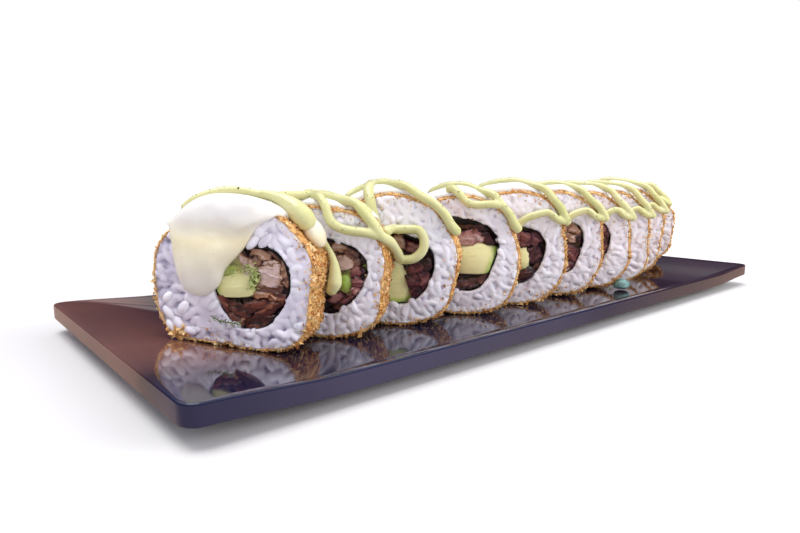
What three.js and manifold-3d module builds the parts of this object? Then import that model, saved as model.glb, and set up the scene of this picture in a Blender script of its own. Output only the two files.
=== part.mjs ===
// A plate of ten breaded sushi rolls: a long shallow tray with a row of slices that stand on their round sides.
// Each slice is a ring of rice in a crumb crust, a band of seaweed and fillings that run through it,
// under melted cream with thick strands of herb sauce.
// Millimetres, +Z up, +X along the plate. The origin is the middle of the plate's foot.
import * as THREE from "three";
import { mergeVertices } from "three/addons/utils/BufferGeometryUtils.js";
import Module from "manifold-3d";

const wasm = await Module();
wasm.setup();

// Plate
const PLATE_LENGTH = 330;
const PLATE_WIDTH = 142;
const PLATE_THICKNESS = 5;
const WELL_DEPTH = 6.8; // from the corners of the rim down to the flat floor
const RIM_SAG = 2; // how far the long rims dip between the corners
const SAG_REACH = 45;
const RAMP_LENGTH = 55; // the two ends rise slowly
const WALL_WIDTH = 16; // the two long sides rise steeply
const LIP_HEIGHT = 6;
const CORNER_RADIUS = 5;
const EDGE_ROUND = 0.7;
const FLOOR_TOP = PLATE_THICKNESS;
const RIM_TOP = FLOOR_TOP + WELL_DEPTH;

// Row of slices
const AXIS_TURN = THREE.MathUtils.degToRad(47.2); // from +Y towards +X
const FIRST_SLICE = { x: -129.3, y: -21.5 };
const AXIS_STEP = 21.1; // from one cut face to the next, along the roll
const SIDE_STEP = 23.1; // each slice is also set this far to the side
const SIDE_STEP_LOSS = 0.185; // by which the side step shrinks, times the square of the place
const SLICE_THICKNESS = 19;
const SETTLE = 0.7; // how far a slice's soft foot is flattened on the plate
const PITCH_SHARE = 0.3; // the slices stay nearly upright along the row, as they lean on each other
const GAP = 0.4;

// Layers of a slice
const RICE_SECTORS = 22;
const GRAIN_RELIEF = 0.45;
const CRUMB_RELIEF = 0.45;
const NORI_SECTORS = 14;
const NORI_THICKNESS = 1;
const CREAM_LIFT = 0.8; // the cream clears the crumbs by this
const STRAND_RADIUS = 1.7;
const HOLE_POWER = 2.3; // the hole is a little squarer than an ellipse
const WASABI_PLACE = [67.7, -45.4];

const COLOURS = {
  plate: [0x1d1820, 0.12],
  rice: [0xdcd9e2, 0.6],
  nori: [0x17140f, 0.5],
  avocado: [0xb9bd5a, 0.5],
  meat: [0x4a2018, 0.5],
  pale_meat: [0xb08a7a, 0.55],
  cream: [0xe9e7cf, 0.3],
  dill: [0x4c6a2c, 0.6],
  wasabi: [0x5f9a86, 0.6],
};

// One row for each slice, nearest first. Sizes in millimetres, turns in degrees from the slice's right.
// "aside" is how far a slice stands off the even row. "square" makes its outline round (2) or squarish, above
// and below. "hole" is the seaweed band's middle and half sizes. "fill" is the side where the dark meat lies
// and how far from the hole's middle it starts, then the same for the avocado, which takes what the meat
// leaves. "bulge" is a swelling of the outline: its turn, spread and height. "cream" is the span of the cream on top: its right edge at the front and the back, its left edge
// likewise, and its height.
const SLICES = [
  {
    aside: 0,
    half: [25.6, 22.8],
    square: [2.1, 4],
    bulge: [176, 0.3, 1.6],
    hole: [5.5, -2.2, 12.1, 13.6],
    fill: [-82, 3.5, 205, 0],
    pale: true,
    cream: [62, 34, 156, 146, 0.8],
  },
  {
    aside: -1.7,
    half: [23.4, 22.8],
    square: [2.5, 3.3],
    hole: [2.4, -0.8, 14, 12.8],
    fill: [-100, 5.6, -75, -0.5],
    pale: true,
    cream: [66, 42, 136, 140, 1.9],
  },
  {
    aside: -2,
    half: [25, 24.8],
    square: [2.2, 3],
    hole: [2, -3, 14, 13.4],
    fill: [12, 3.6, -100, -2],
    pale: true,
    cream: [72, 42, 134, 134, 2.2],
  },
  {
    aside: 0.4,
    half: [24.8, 24.2],
    square: [2.3, 3],
    hole: [1.8, 0.9, 14.2, 15],
    fill: [84, 5, 88, -8],
    pale: true,
    cream: [64, 40, 130, 138, 2],
  },
  {
    aside: 1.2,
    half: [24.9, 25],
    square: [2.3, 2.9],
    hole: [1.6, -2.6, 13.8, 13],
    fill: [8, 7.4, -20, -2],
    pale: true,
    cream: [60, 38, 134, 136, 2.2],
  },
  {
    aside: 1.5,
    half: [24.6, 24.8],
    square: [2.3, 3],
    hole: [2, -1.2, 13.4, 13.4],
    fill: [-78, -0.5, 190, 0],
    pale: true,
    cream: [58, 40, 132, 138, 1.4],
  },
  {
    aside: 1.4,
    half: [24.4, 24.6],
    square: [2.3, 2.9],
    hole: [1.4, -1.2, 12.8, 12.8],
    fill: [-20, 1, 0, 0],
    pale: false,
    cream: [60, 38, 134, 136, 2],
  },
  {
    aside: 0.6,
    half: [24.6, 24.9],
    square: [2.3, 3],
    hole: [1.4, -2.4, 13, 12.6],
    fill: [-64, 0, 0, 0],
    pale: false,
    cream: [58, 40, 132, 138, 2.1],
  },
  {
    aside: 0,
    half: [24.5, 25],
    square: [2.3, 2.9],
    hole: [-0.4, 0.8, 12.6, 13],
    fill: [-10, 1, 0, 0],
    pale: false,
    cream: [58, 42, 136, 134, 2.4],
  },
  {
    aside: 1,
    half: [24.6, 23.2],
    square: [2.2, 2.8],
    hole: [0.6, -0.4, 13, 12.4],
    fill: [-40, 0, 0, 0],
    pale: false,
    cream: [52, 40, 134, 138, 1],
  },
];

const FULL_TURN = 2 * Math.PI;
const rad = THREE.MathUtils.degToRad;
const lerp = THREE.MathUtils.lerp;

// A repeatable random sequence between 0 and 1.
function sequence(seed) {
  let state = seed * 7919 + 17;
  return () => {
    state = (Math.imul(state, 1664525) + 1013904223) >>> 0;
    return state / 4294967296;
  };
}

function smooth(t) {
  const s = THREE.MathUtils.clamp(t, 0, 1);
  return s * s * (3 - 2 * s);
}

// The plate's upper surface.
function trayTop(x, y) {
  const fromEnd = PLATE_LENGTH / 2 - Math.abs(x);
  const fromSide = PLATE_WIDTH / 2 - Math.abs(y);
  const rim = RIM_TOP - RIM_SAG * smooth(fromEnd / SAG_REACH);
  const ramp = RIM_TOP - WELL_DEPTH * smooth(fromEnd / RAMP_LENGTH);
  const wall = rim - (rim - FLOOR_TOP) * smooth(fromSide / WALL_WIDTH);
  return Math.max(ramp, wall);
}

// Geometry helpers

function geometryOf(points, triangles) {
  const geometry = new THREE.BufferGeometry();
  geometry.setAttribute(
    "position",
    new THREE.Float32BufferAttribute(
      points.flatMap((p) => [p.x, p.y, p.z]),
      3,
    ),
  );
  geometry.setIndex(triangles.flat());
  return geometry;
}

// Six times the volume that the triangles close in.
function signedVolume(points, triangles) {
  const cross = new THREE.Vector3();
  return triangles.reduce(
    (sum, [a, b, c]) =>
      sum + points[a].dot(cross.crossVectors(points[b], points[c])),
    0,
  );
}

// A closed skin over loops of points with equal counts. "ends" is "ring" where the last loop meets the first,
// or a pair of points that close the two ends with fans.
function loft(loops, ends) {
  const points = loops.flat();
  const count = loops[0].length;
  const triangles = [];
  const bands = ends === "ring" ? loops.length : loops.length - 1;
  for (let i = 0; i < bands; i++) {
    const here = i * count;
    const next = ((i + 1) % loops.length) * count;
    for (let j = 0; j < count; j++) {
      const k = (j + 1) % count;
      triangles.push([here + j, here + k, next + k]);
      triangles.push([here + j, next + k, next + j]);
    }
  }
  if (ends !== "ring") {
    const last = (loops.length - 1) * count;
    points.push(ends[0], ends[1]);
    for (let j = 0; j < count; j++) {
      const k = (j + 1) % count;
      triangles.push([points.length - 2, k, j]);
      triangles.push([points.length - 1, last + j, last + k]);
    }
  }
  if (signedVolume(points, triangles) < 0) triangles.forEach((t) => t.reverse());
  return geometryOf(points, triangles);
}

function solidOf(geometry) {
  const bare = geometry.clone();
  bare.deleteAttribute("normal");
  bare.deleteAttribute("uv");
  const merged = mergeVertices(bare, 1e-4);
  return new wasm.Manifold(
    new wasm.Mesh({
      numProp: 3,
      vertProperties: merged.attributes.position.array,
      triVerts: new Uint32Array(merged.index.array),
    }),
  );
}

function union(geometries) {
  const whole = geometries
    .map(solidOf)
    .reduce((sum, solid) => sum.add(solid));
  const mesh = whole.getMesh();
  const geometry = new THREE.BufferGeometry();
  geometry.setAttribute(
    "position",
    new THREE.Float32BufferAttribute(mesh.vertProperties, mesh.numProp),
  );
  geometry.setIndex([...mesh.triVerts]);
  return geometry;
}

function tube(points, radius, steps, sides) {
  const section = new THREE.Shape().setFromPoints(
    Array.from({ length: sides }, (_, i) => {
      const a = (i / sides) * FULL_TURN;
      return new THREE.Vector2(radius * Math.cos(a), radius * Math.sin(a));
    }),
  );
  const path = new THREE.CatmullRomCurve3(points);
  return new THREE.ExtrudeGeometry(section, {
    steps,
    extrudePath: path,
    bevelEnabled: false,
  });
}

function named(name, geometry) {
  const [colour, roughness] = COLOURS[name.replace(/_\d+$/, "")];
  const material = new THREE.MeshStandardMaterial({
    color: colour,
    roughness,
    metalness: 0,
  });
  const mesh = new THREE.Mesh(geometry, material);
  mesh.name = name;
  return mesh;
}

// Plate

// The plan outline, drawn in from the ends and the sides, as the same number of points each time.
function plateLoop(fromEnd, fromSide, height) {
  const halfLength = PLATE_LENGTH / 2 - fromEnd;
  const halfWidth = PLATE_WIDTH / 2 - fromSide;
  const radius = Math.max(CORNER_RADIUS - fromSide, 2);
  const endSteps = 5;
  const sideSteps = 11;
  const arcSteps = 3;
  const corners = [
    [1, 1, 0, sideSteps],
    [-1, 1, 90, endSteps],
    [-1, -1, 180, sideSteps],
    [1, -1, 270, endSteps],
  ];
  const plan = [];
  corners.forEach(([signX, signY, startAngle], n) => {
    const centre = [signX * (halfLength - radius), signY * (halfWidth - radius)];
    const next = corners[(n + 1) % 4];
    const nextCentre = [
      next[0] * (halfLength - radius),
      next[1] * (halfWidth - radius),
    ];
    for (let i = 0; i <= arcSteps; i++) {
      const a = rad(startAngle + (90 * i) / arcSteps);
      plan.push([
        centre[0] + radius * Math.cos(a),
        centre[1] + radius * Math.sin(a),
      ]);
    }
    const straight = corners[n][3];
    const endAngle = rad(startAngle + 90);
    for (let i = 1; i < straight; i++) {
      const t = i / straight;
      plan.push([
        lerp(centre[0], nextCentre[0], t) + radius * Math.cos(endAngle),
        lerp(centre[1], nextCentre[1], t) + radius * Math.sin(endAngle),
      ]);
    }
  });
  return plan.map(([x, y]) => new THREE.Vector3(x, y, height(x, y)));
}

function plateGeometry() {
  const under = (x, y) => Math.max(0, trayTop(x, y) - PLATE_THICKNESS);
  const loops = [
    plateLoop(46, 18, () => 0),
    plateLoop(30, 12, under),
    plateLoop(15, 6, under),
    plateLoop(EDGE_ROUND, EDGE_ROUND, (x, y) => trayTop(x, y) - LIP_HEIGHT),
    plateLoop(0, 0, (x, y) => trayTop(x, y) - LIP_HEIGHT + EDGE_ROUND),
    plateLoop(0, 0, (x, y) => trayTop(x, y) - EDGE_ROUND),
    plateLoop(EDGE_ROUND, EDGE_ROUND, trayTop),
    plateLoop(9, 3.2, trayTop),
    plateLoop(19, 6.4, trayTop),
    plateLoop(30, 9.6, trayTop),
    plateLoop(42, 12.8, trayTop),
    plateLoop(RAMP_LENGTH, WALL_WIDTH, () => FLOOR_TOP),
  ];
  return loft(loops, [
    new THREE.Vector3(0, 0, 0),
    new THREE.Vector3(0, 0, FLOOR_TOP),
  ]);
}

// Slices. A slice's own frame has x to the right and z up on its cut face, and y into the roll.

function waves(random, counts, size) {
  return counts.map((count) => ({
    count,
    size: size * (0.5 + random()),
    phase: random() * FULL_TURN,
  }));
}

function waveSum(list, angle) {
  return list.reduce(
    (sum, w) => sum + w.size * Math.cos(w.count * angle + w.phase),
    0,
  );
}

function superellipse(angle, halfX, halfZ, power) {
  const x = Math.abs(Math.cos(angle)) / halfX;
  const z = Math.abs(Math.sin(angle)) / halfZ;
  return (x ** power + z ** power) ** (-1 / power);
}

function bulgeHeight(slice, angle) {
  if (!slice.bulge) return 0;
  const [turn, spread, height] = slice.bulge;
  return height * Math.exp((Math.cos(angle - rad(turn)) - 1) / spread ** 2);
}

function outer(slice, angle) {
  const [above, below] = slice.square;
  const power = lerp(below, above, smooth(0.5 + Math.sin(angle)));
  const radius = superellipse(angle, ...slice.half, power);
  return radius + waveSum(slice.outerWaves, angle) + bulgeHeight(slice, angle);
}

function around(centreX, centreZ, radius, angle, depth) {
  return new THREE.Vector3(
    centreX + radius * Math.cos(angle),
    depth,
    centreZ + radius * Math.sin(angle),
  );
}

function outerPoint(slice, angle, outset, depth) {
  return around(0, 0, outer(slice, angle) + outset, angle, depth);
}

// Rice is soft: what would reach into the plate is flattened on it.
function settled(slice, point) {
  const low = point.clone().applyMatrix4(slice.place);
  const floor = trayTop(low.x, low.y) + GAP;
  if (low.z >= floor) return point;
  low.z = floor;
  return low.applyMatrix4(slice.place.clone().invert());
}

function holePoint(slice, angle, inset, depth) {
  const [x, z, halfX, halfZ] = slice.hole;
  const radius =
    superellipse(angle, halfX, halfZ, HOLE_POWER) + waveSum(slice.holeWaves, angle);
  return around(x, z, radius - inset, angle, depth);
}

// Grains stand out of both cut faces and crumbs out of the side.
function riceGeometry(slice) {
  const random = sequence(slice.number);
  const bump = (size) => size * (2 * random() - 1);
  const faceRing = (share, depth, inward) =>
    Array.from({ length: RICE_SECTORS }, (_, i) => {
      const inside = share > 0 && share < 1;
      const angle =
        ((i + (inside ? 0.5 * bump(1) : 0)) / RICE_SECTORS) * FULL_TURN;
      const point = holePoint(slice, angle, 0, 0).lerp(
        outerPoint(slice, angle, -0.4, 0),
        share + (inside ? bump(0.06) : 0),
      );
      const raised = inside ? GRAIN_RELIEF * ((i % 2) * 2 - 1) + bump(0.15) : -0.5;
      point.y = depth - inward * raised;
      return settled(slice, point);
    });
  const sideRing = (share) =>
    Array.from({ length: RICE_SECTORS }, (_, i) => {
      const angle = ((i + 0.25 * bump(1)) / RICE_SECTORS) * FULL_TURN;
      const depth = share * SLICE_THICKNESS + bump(0.8);
      return settled(
        slice,
        outerPoint(slice, angle, bump(CRUMB_RELIEF), depth),
      );
    });
  const front = [0, 0.27, 0.52, 0.77, 1].map((s) => faceRing(s, 0, 1));
  const back = [1, 0.67, 0.34, 0].map((s) => faceRing(s, SLICE_THICKNESS, -1));
  return loft([...front, sideRing(0.34), sideRing(0.68), ...back], "ring");
}

function noriGeometry(slice) {
  const ring = (inset, depth) =>
    Array.from({ length: NORI_SECTORS }, (_, i) =>
      holePoint(slice, (i / NORI_SECTORS) * FULL_TURN, inset, depth),
    );
  const near = 0.6;
  const far = SLICE_THICKNESS - near;
  const inset = GAP + NORI_THICKNESS;
  return loft(
    [ring(GAP, near), ring(GAP, far), ring(inset, far), ring(inset, near)],
    "ring",
  );
}

// The part of an outline on one side of the line a.x + b.z = limit.
function clip(outline, a, b, limit) {
  const side = (p) => a * p.x + b * p.z - limit;
  return outline.flatMap((p, i) => {
    const q = outline[(i + 1) % outline.length];
    const kept = side(p) <= 0 ? [p] : [];
    if (side(p) * side(q) < 0)
      kept.push(p.clone().lerp(q, side(p) / (side(p) - side(q))));
    return kept;
  });
}

// A filling runs from face to face and ends in a lumpy cut.
function fillingGeometry(outline, random, relief) {
  const middle = outline
    .reduce((sum, p) => sum.add(p), new THREE.Vector3())
    .divideScalar(outline.length);
  const ring = (share, depth, lump) =>
    outline.map((p) => {
      const point = middle.clone().lerp(p, share);
      point.y = depth + lump * (2 * random() - 1);
      return point;
    });
  const end = (depth) => {
    const point = middle.clone();
    point.y = depth;
    return point;
  };
  const near = 0.9;
  const far = SLICE_THICKNESS - near;
  const loops = [
    ring(0.55, near - 0.8, relief),
    ring(1, near, 0),
    ring(1, far, 0),
    ring(0.55, far + 0.8, relief),
  ];
  return loft(loops, [end(near - 0.8), end(far + 0.8)]);
}

// The band's inside is shared out by two straight cuts.
function fillingOutlines(slice) {
  const inside = Array.from({ length: NORI_SECTORS }, (_, i) =>
    holePoint(
      slice,
      (i / NORI_SECTORS) * FULL_TURN,
      2 * GAP + NORI_THICKNESS,
      0,
    ),
  );
  const [meatTurn, meatStart, avocadoTurn, avocadoStart] = slice.fill;
  const [holeX, holeZ] = slice.hole;
  // What lies beyond a line across the given turn, or short of it, half a gap clear.
  const beyond = (outline, turn, start, sign) => {
    const a = Math.cos(rad(turn));
    const b = Math.sin(rad(turn));
    const limit = start + a * holeX + b * holeZ;
    return clip(outline, -sign * a, -sign * b, -sign * limit - GAP / 2);
  };
  const rest = beyond(inside, meatTurn, meatStart, -1);
  return {
    meat: beyond(inside, meatTurn, meatStart, 1),
    avocado: slice.pale ? beyond(rest, avocadoTurn, avocadoStart, 1) : rest,
    pale_meat: beyond(rest, avocadoTurn, avocadoStart, -1),
  };
}

// Cream

// The cream's height over the crust, from its right edge (0) to its left edge (1) and from front to back.
function creamHeight(slice, share, depthShare) {
  const crown = Math.sqrt(Math.sin(Math.PI * THREE.MathUtils.clamp(share, 0.02, 0.98)));
  const swell = 0.5 * Math.sin(5 * share + 3 * depthShare + slice.number);
  const along = 0.75 + 0.25 * Math.sin(Math.PI * depthShare);
  return 0.9 + crown * (slice.cream[4] + swell) * along;
}

function creamAngle(slice, share, depthShare) {
  const [rightFront, rightBack, leftFront, leftBack] = slice.cream;
  return rad(
    lerp(
      lerp(rightFront, rightBack, depthShare),
      lerp(leftFront, leftBack, depthShare),
      share,
    ),
  );
}

function creamCap(slice) {
  const steps = 8;
  const rows = 3;
  const loops = [];
  for (let i = 0; i <= steps; i++) {
    const share = i / steps;
    const row = (height, depthShare) =>
      outerPoint(
        slice,
        creamAngle(slice, share, depthShare),
        CREAM_LIFT + height,
        lerp(slice.creamFront, SLICE_THICKNESS - 0.4, depthShare),
      );
    const shares = Array.from({ length: rows + 1 }, (_, j) => j / rows);
    loops.push([
      ...shares.map((s) => row(0, s)),
      ...shares
        .map((s) => {
          const edge = s === 0 || s === 1 ? 0.6 : 1;
          return row(edge * creamHeight(slice, share, s), s);
        })
        .reverse(),
    ]);
  }
  const middle = (loop) =>
    loop
      .reduce((sum, p) => sum.add(p), new THREE.Vector3())
      .divideScalar(loop.length);
  return loft(loops, [middle(loops[0]), middle(loops.at(-1))]);
}

// Strands of sauce

// A point of a strand is [turn, depth] where it lies on the cream or the crust, [turn, depth, outset] where it
// stands off the outline, or a Vector3 on the cut face.
function strandPoint(slice, point) {
  if (point.isVector3) return point;
  const [turn, depth, outset] = point;
  if (outset !== undefined)
    return outerPoint(slice, rad(turn), outset, depth);
  const depthShare = (depth - slice.creamFront) / (SLICE_THICKNESS - slice.creamFront);
  const right = creamAngle(slice, 0, depthShare);
  const left = creamAngle(slice, 1, depthShare);
  const share = (rad(turn) - right) / (left - right);
  const onCream = share > 0 && share < 1;
  const lift = onCream
    ? 0.4 + creamHeight(slice, share, depthShare)
    : STRAND_RADIUS;
  return outerPoint(slice, rad(turn), CREAM_LIFT + lift, depth);
}

function strand(slice, points) {
  const route = points.map((point) => strandPoint(slice, point));
  return tube(route, STRAND_RADIUS, points.length - 1, 5);
}

const onFace = (x, z) => new THREE.Vector3(x, -2.7, z);

// Over the top from the back left, then down the front right edge.
const overTop = (start) => [
  [start, 14],
  [start - 18, 10],
  [start - 34, 7],
  [start - 48, 3.8],
  [60, 1, 3.2],
  [50, -1, 1.6],
  [40, -1.3, 1.4],
  [30, -1.2, 1.4],
  [22, 0.6, 2.4],
];

// A bow on the cut face that starts beside the slice in front.
const bow = (startX) => [
  onFace(startX, 12.4),
  onFace((startX + 16.4) / 2, 14.8),
  onFace(16.4, 15.6),
  onFace(20.2, 12.8),
  [26, -1.4, 1.4],
];

const STRANDS = [
  [
    [[150, 4.5], [134, 6], [118, 8], [96, 9.5], [76, 8.5], [60, 9], [47, 8.5]],
    [[98, 11], [78, 15.5], [60, 16.6], [50, 16]],
  ],
  [
    [
      [118, 13],
      [104, 8],
      [93, 4],
      [88, 0.8, 3.2],
      [82, -1.6, 0.8],
      onFace(5.4, 18.2),
      onFace(8.4, 16),
      onFace(12.4, 14.9),
      onFace(17.2, 14.4),
      [30, -1.2, 1.4],
    ],
    [
      [122, 15],
      [104, 12],
      [88, 7.5],
      [72, 3.8],
      [61, 0.8, 3.2],
      [50, -1, 1.6],
      [40, -1.3, 1.4],
      [31, -1.1, 1.5],
      [24, 2, 2.7],
      [16, 8, 2.7],
      [9, 14, 2.7],
      // a loop that hangs over the next slice's face
      new THREE.Vector3(26.9, 18.3, 2.6),
      new THREE.Vector3(31.6, 18.3, 3),
      new THREE.Vector3(35, 18.3, 6.2),
      new THREE.Vector3(35.4, 18.3, 10.4),
      new THREE.Vector3(33.6, 18.3, 13.5),
      new THREE.Vector3(29.4, 18.3, 13.9),
      new THREE.Vector3(26, 18.3, 13.8),
      new THREE.Vector3(23.6, 18, 14),
      [31, 11, 2.7],
      [32, 5, 2.7],
    ],
  ],
  [
    [
      [122, 12],
      [104, 8],
      [90, 4.6],
      [78, 1, 3.4],
      [66, -0.9, 1.8],
      [54, -1.3, 1.4],
      [42, -1.3, 1.4],
      [30, -1.2, 1.4],
      [21, 0.6, 2.4],
    ],
    [[92, 16.5], [108, 12], [120, 7], [128, 4.4]],
    [[110, 9], [105, 5], [101, 1, 3.2], onFace(-4.4, 24), onFace(-2.4, 20.8)],
  ],
  [
    overTop(118),
    [
      [100, 3.4, 3.2],
      [94, 0.4, 3],
      [89, -1.6, 0.8],
      onFace(3.6, 22),
      onFace(7.8, 21),
      [58, -2.4, -0.4],
      [50, -1.2, 1.4],
    ],
  ],
  [overTop(120), bow(5.8)],
  [overTop(117), bow(8)],
  [overTop(121), bow(10)],
  [overTop(118), bow(12)],
  [overTop(121), bow(12.6)],
  [overTop(118).slice(0, -1), bow(13.2)],
];

// A lobe of cream that hangs on the first slice's face, domed over its outline.
const LOBE_OUTLINE = [
  [-21.8, 12.4],
  [-20.6, 8],
  [-18.2, -0.6],
  [-15, -6.2],
  [-9.6, -7.6],
  [-4.6, -3.8],
  [-2.6, 2],
  [2.6, 9.2],
  [6.2, 16.4],
  [12.4, 21.6],
  [8, 25],
  [-2, 26],
  [-12, 24],
  [-19, 18.4],
];

function faceLobe(thickness) {
  const base = -0.9;
  const curve = new THREE.CatmullRomCurve3(
    LOBE_OUTLINE.map(([x, z]) => new THREE.Vector3(x, base, z)),
    true,
  );
  const edge = curve.getPoints(22).slice(0, -1);
  const middle = new THREE.Vector3(-8, base, 10);
  const ring = (share, height) =>
    edge.map((p) => {
      const point = middle.clone().lerp(p, share);
      point.y = base - height * thickness;
      return point;
    });
  const top = middle.clone();
  top.y -= thickness;
  return loft(
    [ring(0.95, 0), ring(1, 0.3), ring(0.86, 0.75), ring(0.5, 0.97)],
    [middle, top],
  );
}

// A round lump on a slice's shoulder.
function lump(slice, turn, depth, outset, radii) {
  const shape = new THREE.SphereGeometry(1, 9, 6);
  shape.scale(...radii);
  shape.rotateY(-rad(turn));
  const centre = outerPoint(slice, rad(turn), outset, depth);
  return shape.translate(...centre);
}

// A drop that widens downwards, down the slice's right side.
function sideDrop(slice) {
  const places = [
    { turn: 36, depth: 13, radius: 1.3 },
    { turn: 24, depth: 16.4, radius: 1 },
    { turn: 14, depth: 16.8, radius: 1.4 },
    { turn: 6, depth: 16.4, radius: 2.1 },
    { turn: -1, depth: 16, radius: 2.6 },
    { turn: -6, depth: 16, radius: 2 },
  ];
  const middle = ({ turn, depth, radius }, extra) =>
    outerPoint(slice, rad(turn + extra), CREAM_LIFT + radius, depth);
  const loops = places.map((place) =>
    Array.from({ length: 7 }, (_, i) => {
      const a = (i / 7) * FULL_TURN;
      const across = place.radius * Math.cos(a);
      return middle(place, 0).add(
        new THREE.Vector3(
          across * Math.cos(rad(place.turn)),
          place.radius * Math.sin(a),
          across * Math.sin(rad(place.turn)),
        ),
      );
    }),
  );
  return loft(loops, [middle(places[0], 1), middle(places.at(-1), -2)]);
}

function creamGeometry(slice) {
  const pieces = [creamCap(slice)];
  STRANDS[slice.number - 1].forEach((points) =>
    pieces.push(strand(slice, points)),
  );
  if (slice.number === 1) {
    pieces.push(faceLobe(4));
    pieces.push(lump(slice, 36, 10.5, 3.8, [3.4, 6, 6.4])); // cream
    pieces.push(lump(slice, 46, 7.5, 4.8, [3.2, 5, 6.4])); // herb sauce on it
    pieces.push(sideDrop(slice));
  }
  return union(pieces);
}

// A thin wavy sprig of dill that lies on the first slice's face, under the meat.
function dillGeometry() {
  const length = 10;
  const loops = Array.from({ length: 7 }, (_, i) => {
    const t = i / 6;
    const x = -5.6 + length * t;
    const z = -13.4 - 2.2 * t - 0.6 * Math.sin(5 * t);
    const width = 0.4 + 1.3 * Math.sin(Math.PI * Math.min(t + 0.08, 0.95));
    const depth = -1.5 - 0.4 * Math.sin(7 * t);
    return [
      new THREE.Vector3(x, depth, z - width),
      new THREE.Vector3(x, depth + 0.5, z - width),
      new THREE.Vector3(x, depth + 0.5, z + width),
      new THREE.Vector3(x, depth, z + width),
    ];
  });
  const middle = (loop) =>
    loop
      .reduce((sum, p) => sum.add(p), new THREE.Vector3())
      .divideScalar(loop.length);
  return loft(loops, [middle(loops[0]), middle(loops.at(-1))]);
}

// Stands a slice on the plate: its up is the plate's normal, and its lowest outline clears the surface by GAP.
function placeSlice(slice, x, y) {
  const step = 4;
  const normal = new THREE.Vector3(
    trayTop(x - step, y) - trayTop(x + step, y),
    trayTop(x, y - step) - trayTop(x, y + step),
    2 * step,
  ).normalize();
  const axis = new THREE.Vector3(Math.sin(AXIS_TURN), Math.cos(AXIS_TURN), 0);
  normal.addScaledVector(axis, (PITCH_SHARE - 1) * axis.dot(normal)).normalize();
  axis.addScaledVector(normal, -axis.dot(normal)).normalize();
  const side = new THREE.Vector3().crossVectors(axis, normal);
  const turn = new THREE.Quaternion().setFromRotationMatrix(
    new THREE.Matrix4().makeBasis(side, axis, normal),
  );
  let lift = 0;
  for (let degrees = 190; degrees <= 350; degrees += 4) {
    for (const depth of [0, SLICE_THICKNESS / 2, SLICE_THICKNESS]) {
      const low = outerPoint(slice, rad(degrees), CRUMB_RELIEF, depth)
        .applyQuaternion(turn)
        .add(new THREE.Vector3(x, y, 0));
      lift = Math.max(lift, trayTop(low.x, low.y) + GAP - low.z);
    }
  }
  const group = new THREE.Group();
  group.position.set(x, y, lift - SETTLE);
  group.quaternion.copy(turn);
  group.updateMatrix();
  slice.place = group.matrix;
  return group;
}

function wasabiGeometry() {
  const random = sequence(77);
  const [x, y] = WASABI_PLACE;
  const ring = (radius, height) =>
    Array.from({ length: 9 }, (_, i) => {
      const a = (i / 9) * FULL_TURN;
      const r = radius * (0.85 + 0.3 * random());
      return new THREE.Vector3(
        x + 1.2 * r * Math.cos(a),
        y + r * Math.sin(a),
        FLOOR_TOP + GAP + height,
      );
    });
  return loft(
    [ring(3.4, 0), ring(3.9, 1.2), ring(2.4, 2.8)],
    [
      new THREE.Vector3(x, y, FLOOR_TOP + GAP),
      new THREE.Vector3(x, y, FLOOR_TOP + GAP + 3.4),
    ],
  );
}

const root = new THREE.Group();
root.add(named("plate", plateGeometry()));

let x = FIRST_SLICE.x;
let y = FIRST_SLICE.y;
SLICES.forEach((slice, index) => {
  const random = sequence(index + 101);
  slice.number = index + 1;
  slice.outerWaves = waves(random, [3, 5, 8], 0.3);
  slice.holeWaves = waves(random, [3, 4], 0.5);
  slice.creamFront = index === 0 ? -1.8 : 2.6;
  const label = String(slice.number).padStart(2, "0");
  const group = placeSlice(
    slice,
    x + slice.aside * Math.cos(AXIS_TURN),
    y - slice.aside * Math.sin(AXIS_TURN),
  );
  group.add(named("rice_" + label, riceGeometry(slice)));
  group.add(named("nori_" + label, noriGeometry(slice)));
  const outlines = fillingOutlines(slice);
  group.add(
    named("avocado_" + label, fillingGeometry(outlines.avocado, random, 0.15)),
  );
  group.add(named("meat_" + label, fillingGeometry(outlines.meat, random, 0.6)));
  if (slice.pale)
    group.add(
      named(
        "pale_meat_" + label,
        fillingGeometry(outlines.pale_meat, random, 0.5),
      ),
    );
  group.add(named("cream_" + label, creamGeometry(slice)));
  if (slice.number === 1) group.add(named("dill_01", dillGeometry()));
  root.add(group);

  const sideStep = SIDE_STEP - SIDE_STEP_LOSS * index ** 2;
  x += AXIS_STEP * Math.sin(AXIS_TURN) + sideStep * Math.cos(AXIS_TURN);
  y += AXIS_STEP * Math.cos(AXIS_TURN) - sideStep * Math.sin(AXIS_TURN);
});
root.add(named("wasabi", wasabiGeometry()));

export default root;
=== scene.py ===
# Looks for a plate of ten breaded sushi rolls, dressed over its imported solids.
# Shapes are worked out in millimetres, in the same frame as the solids, and turned into metres in build_mesh.
import math
from itertools import product

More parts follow.
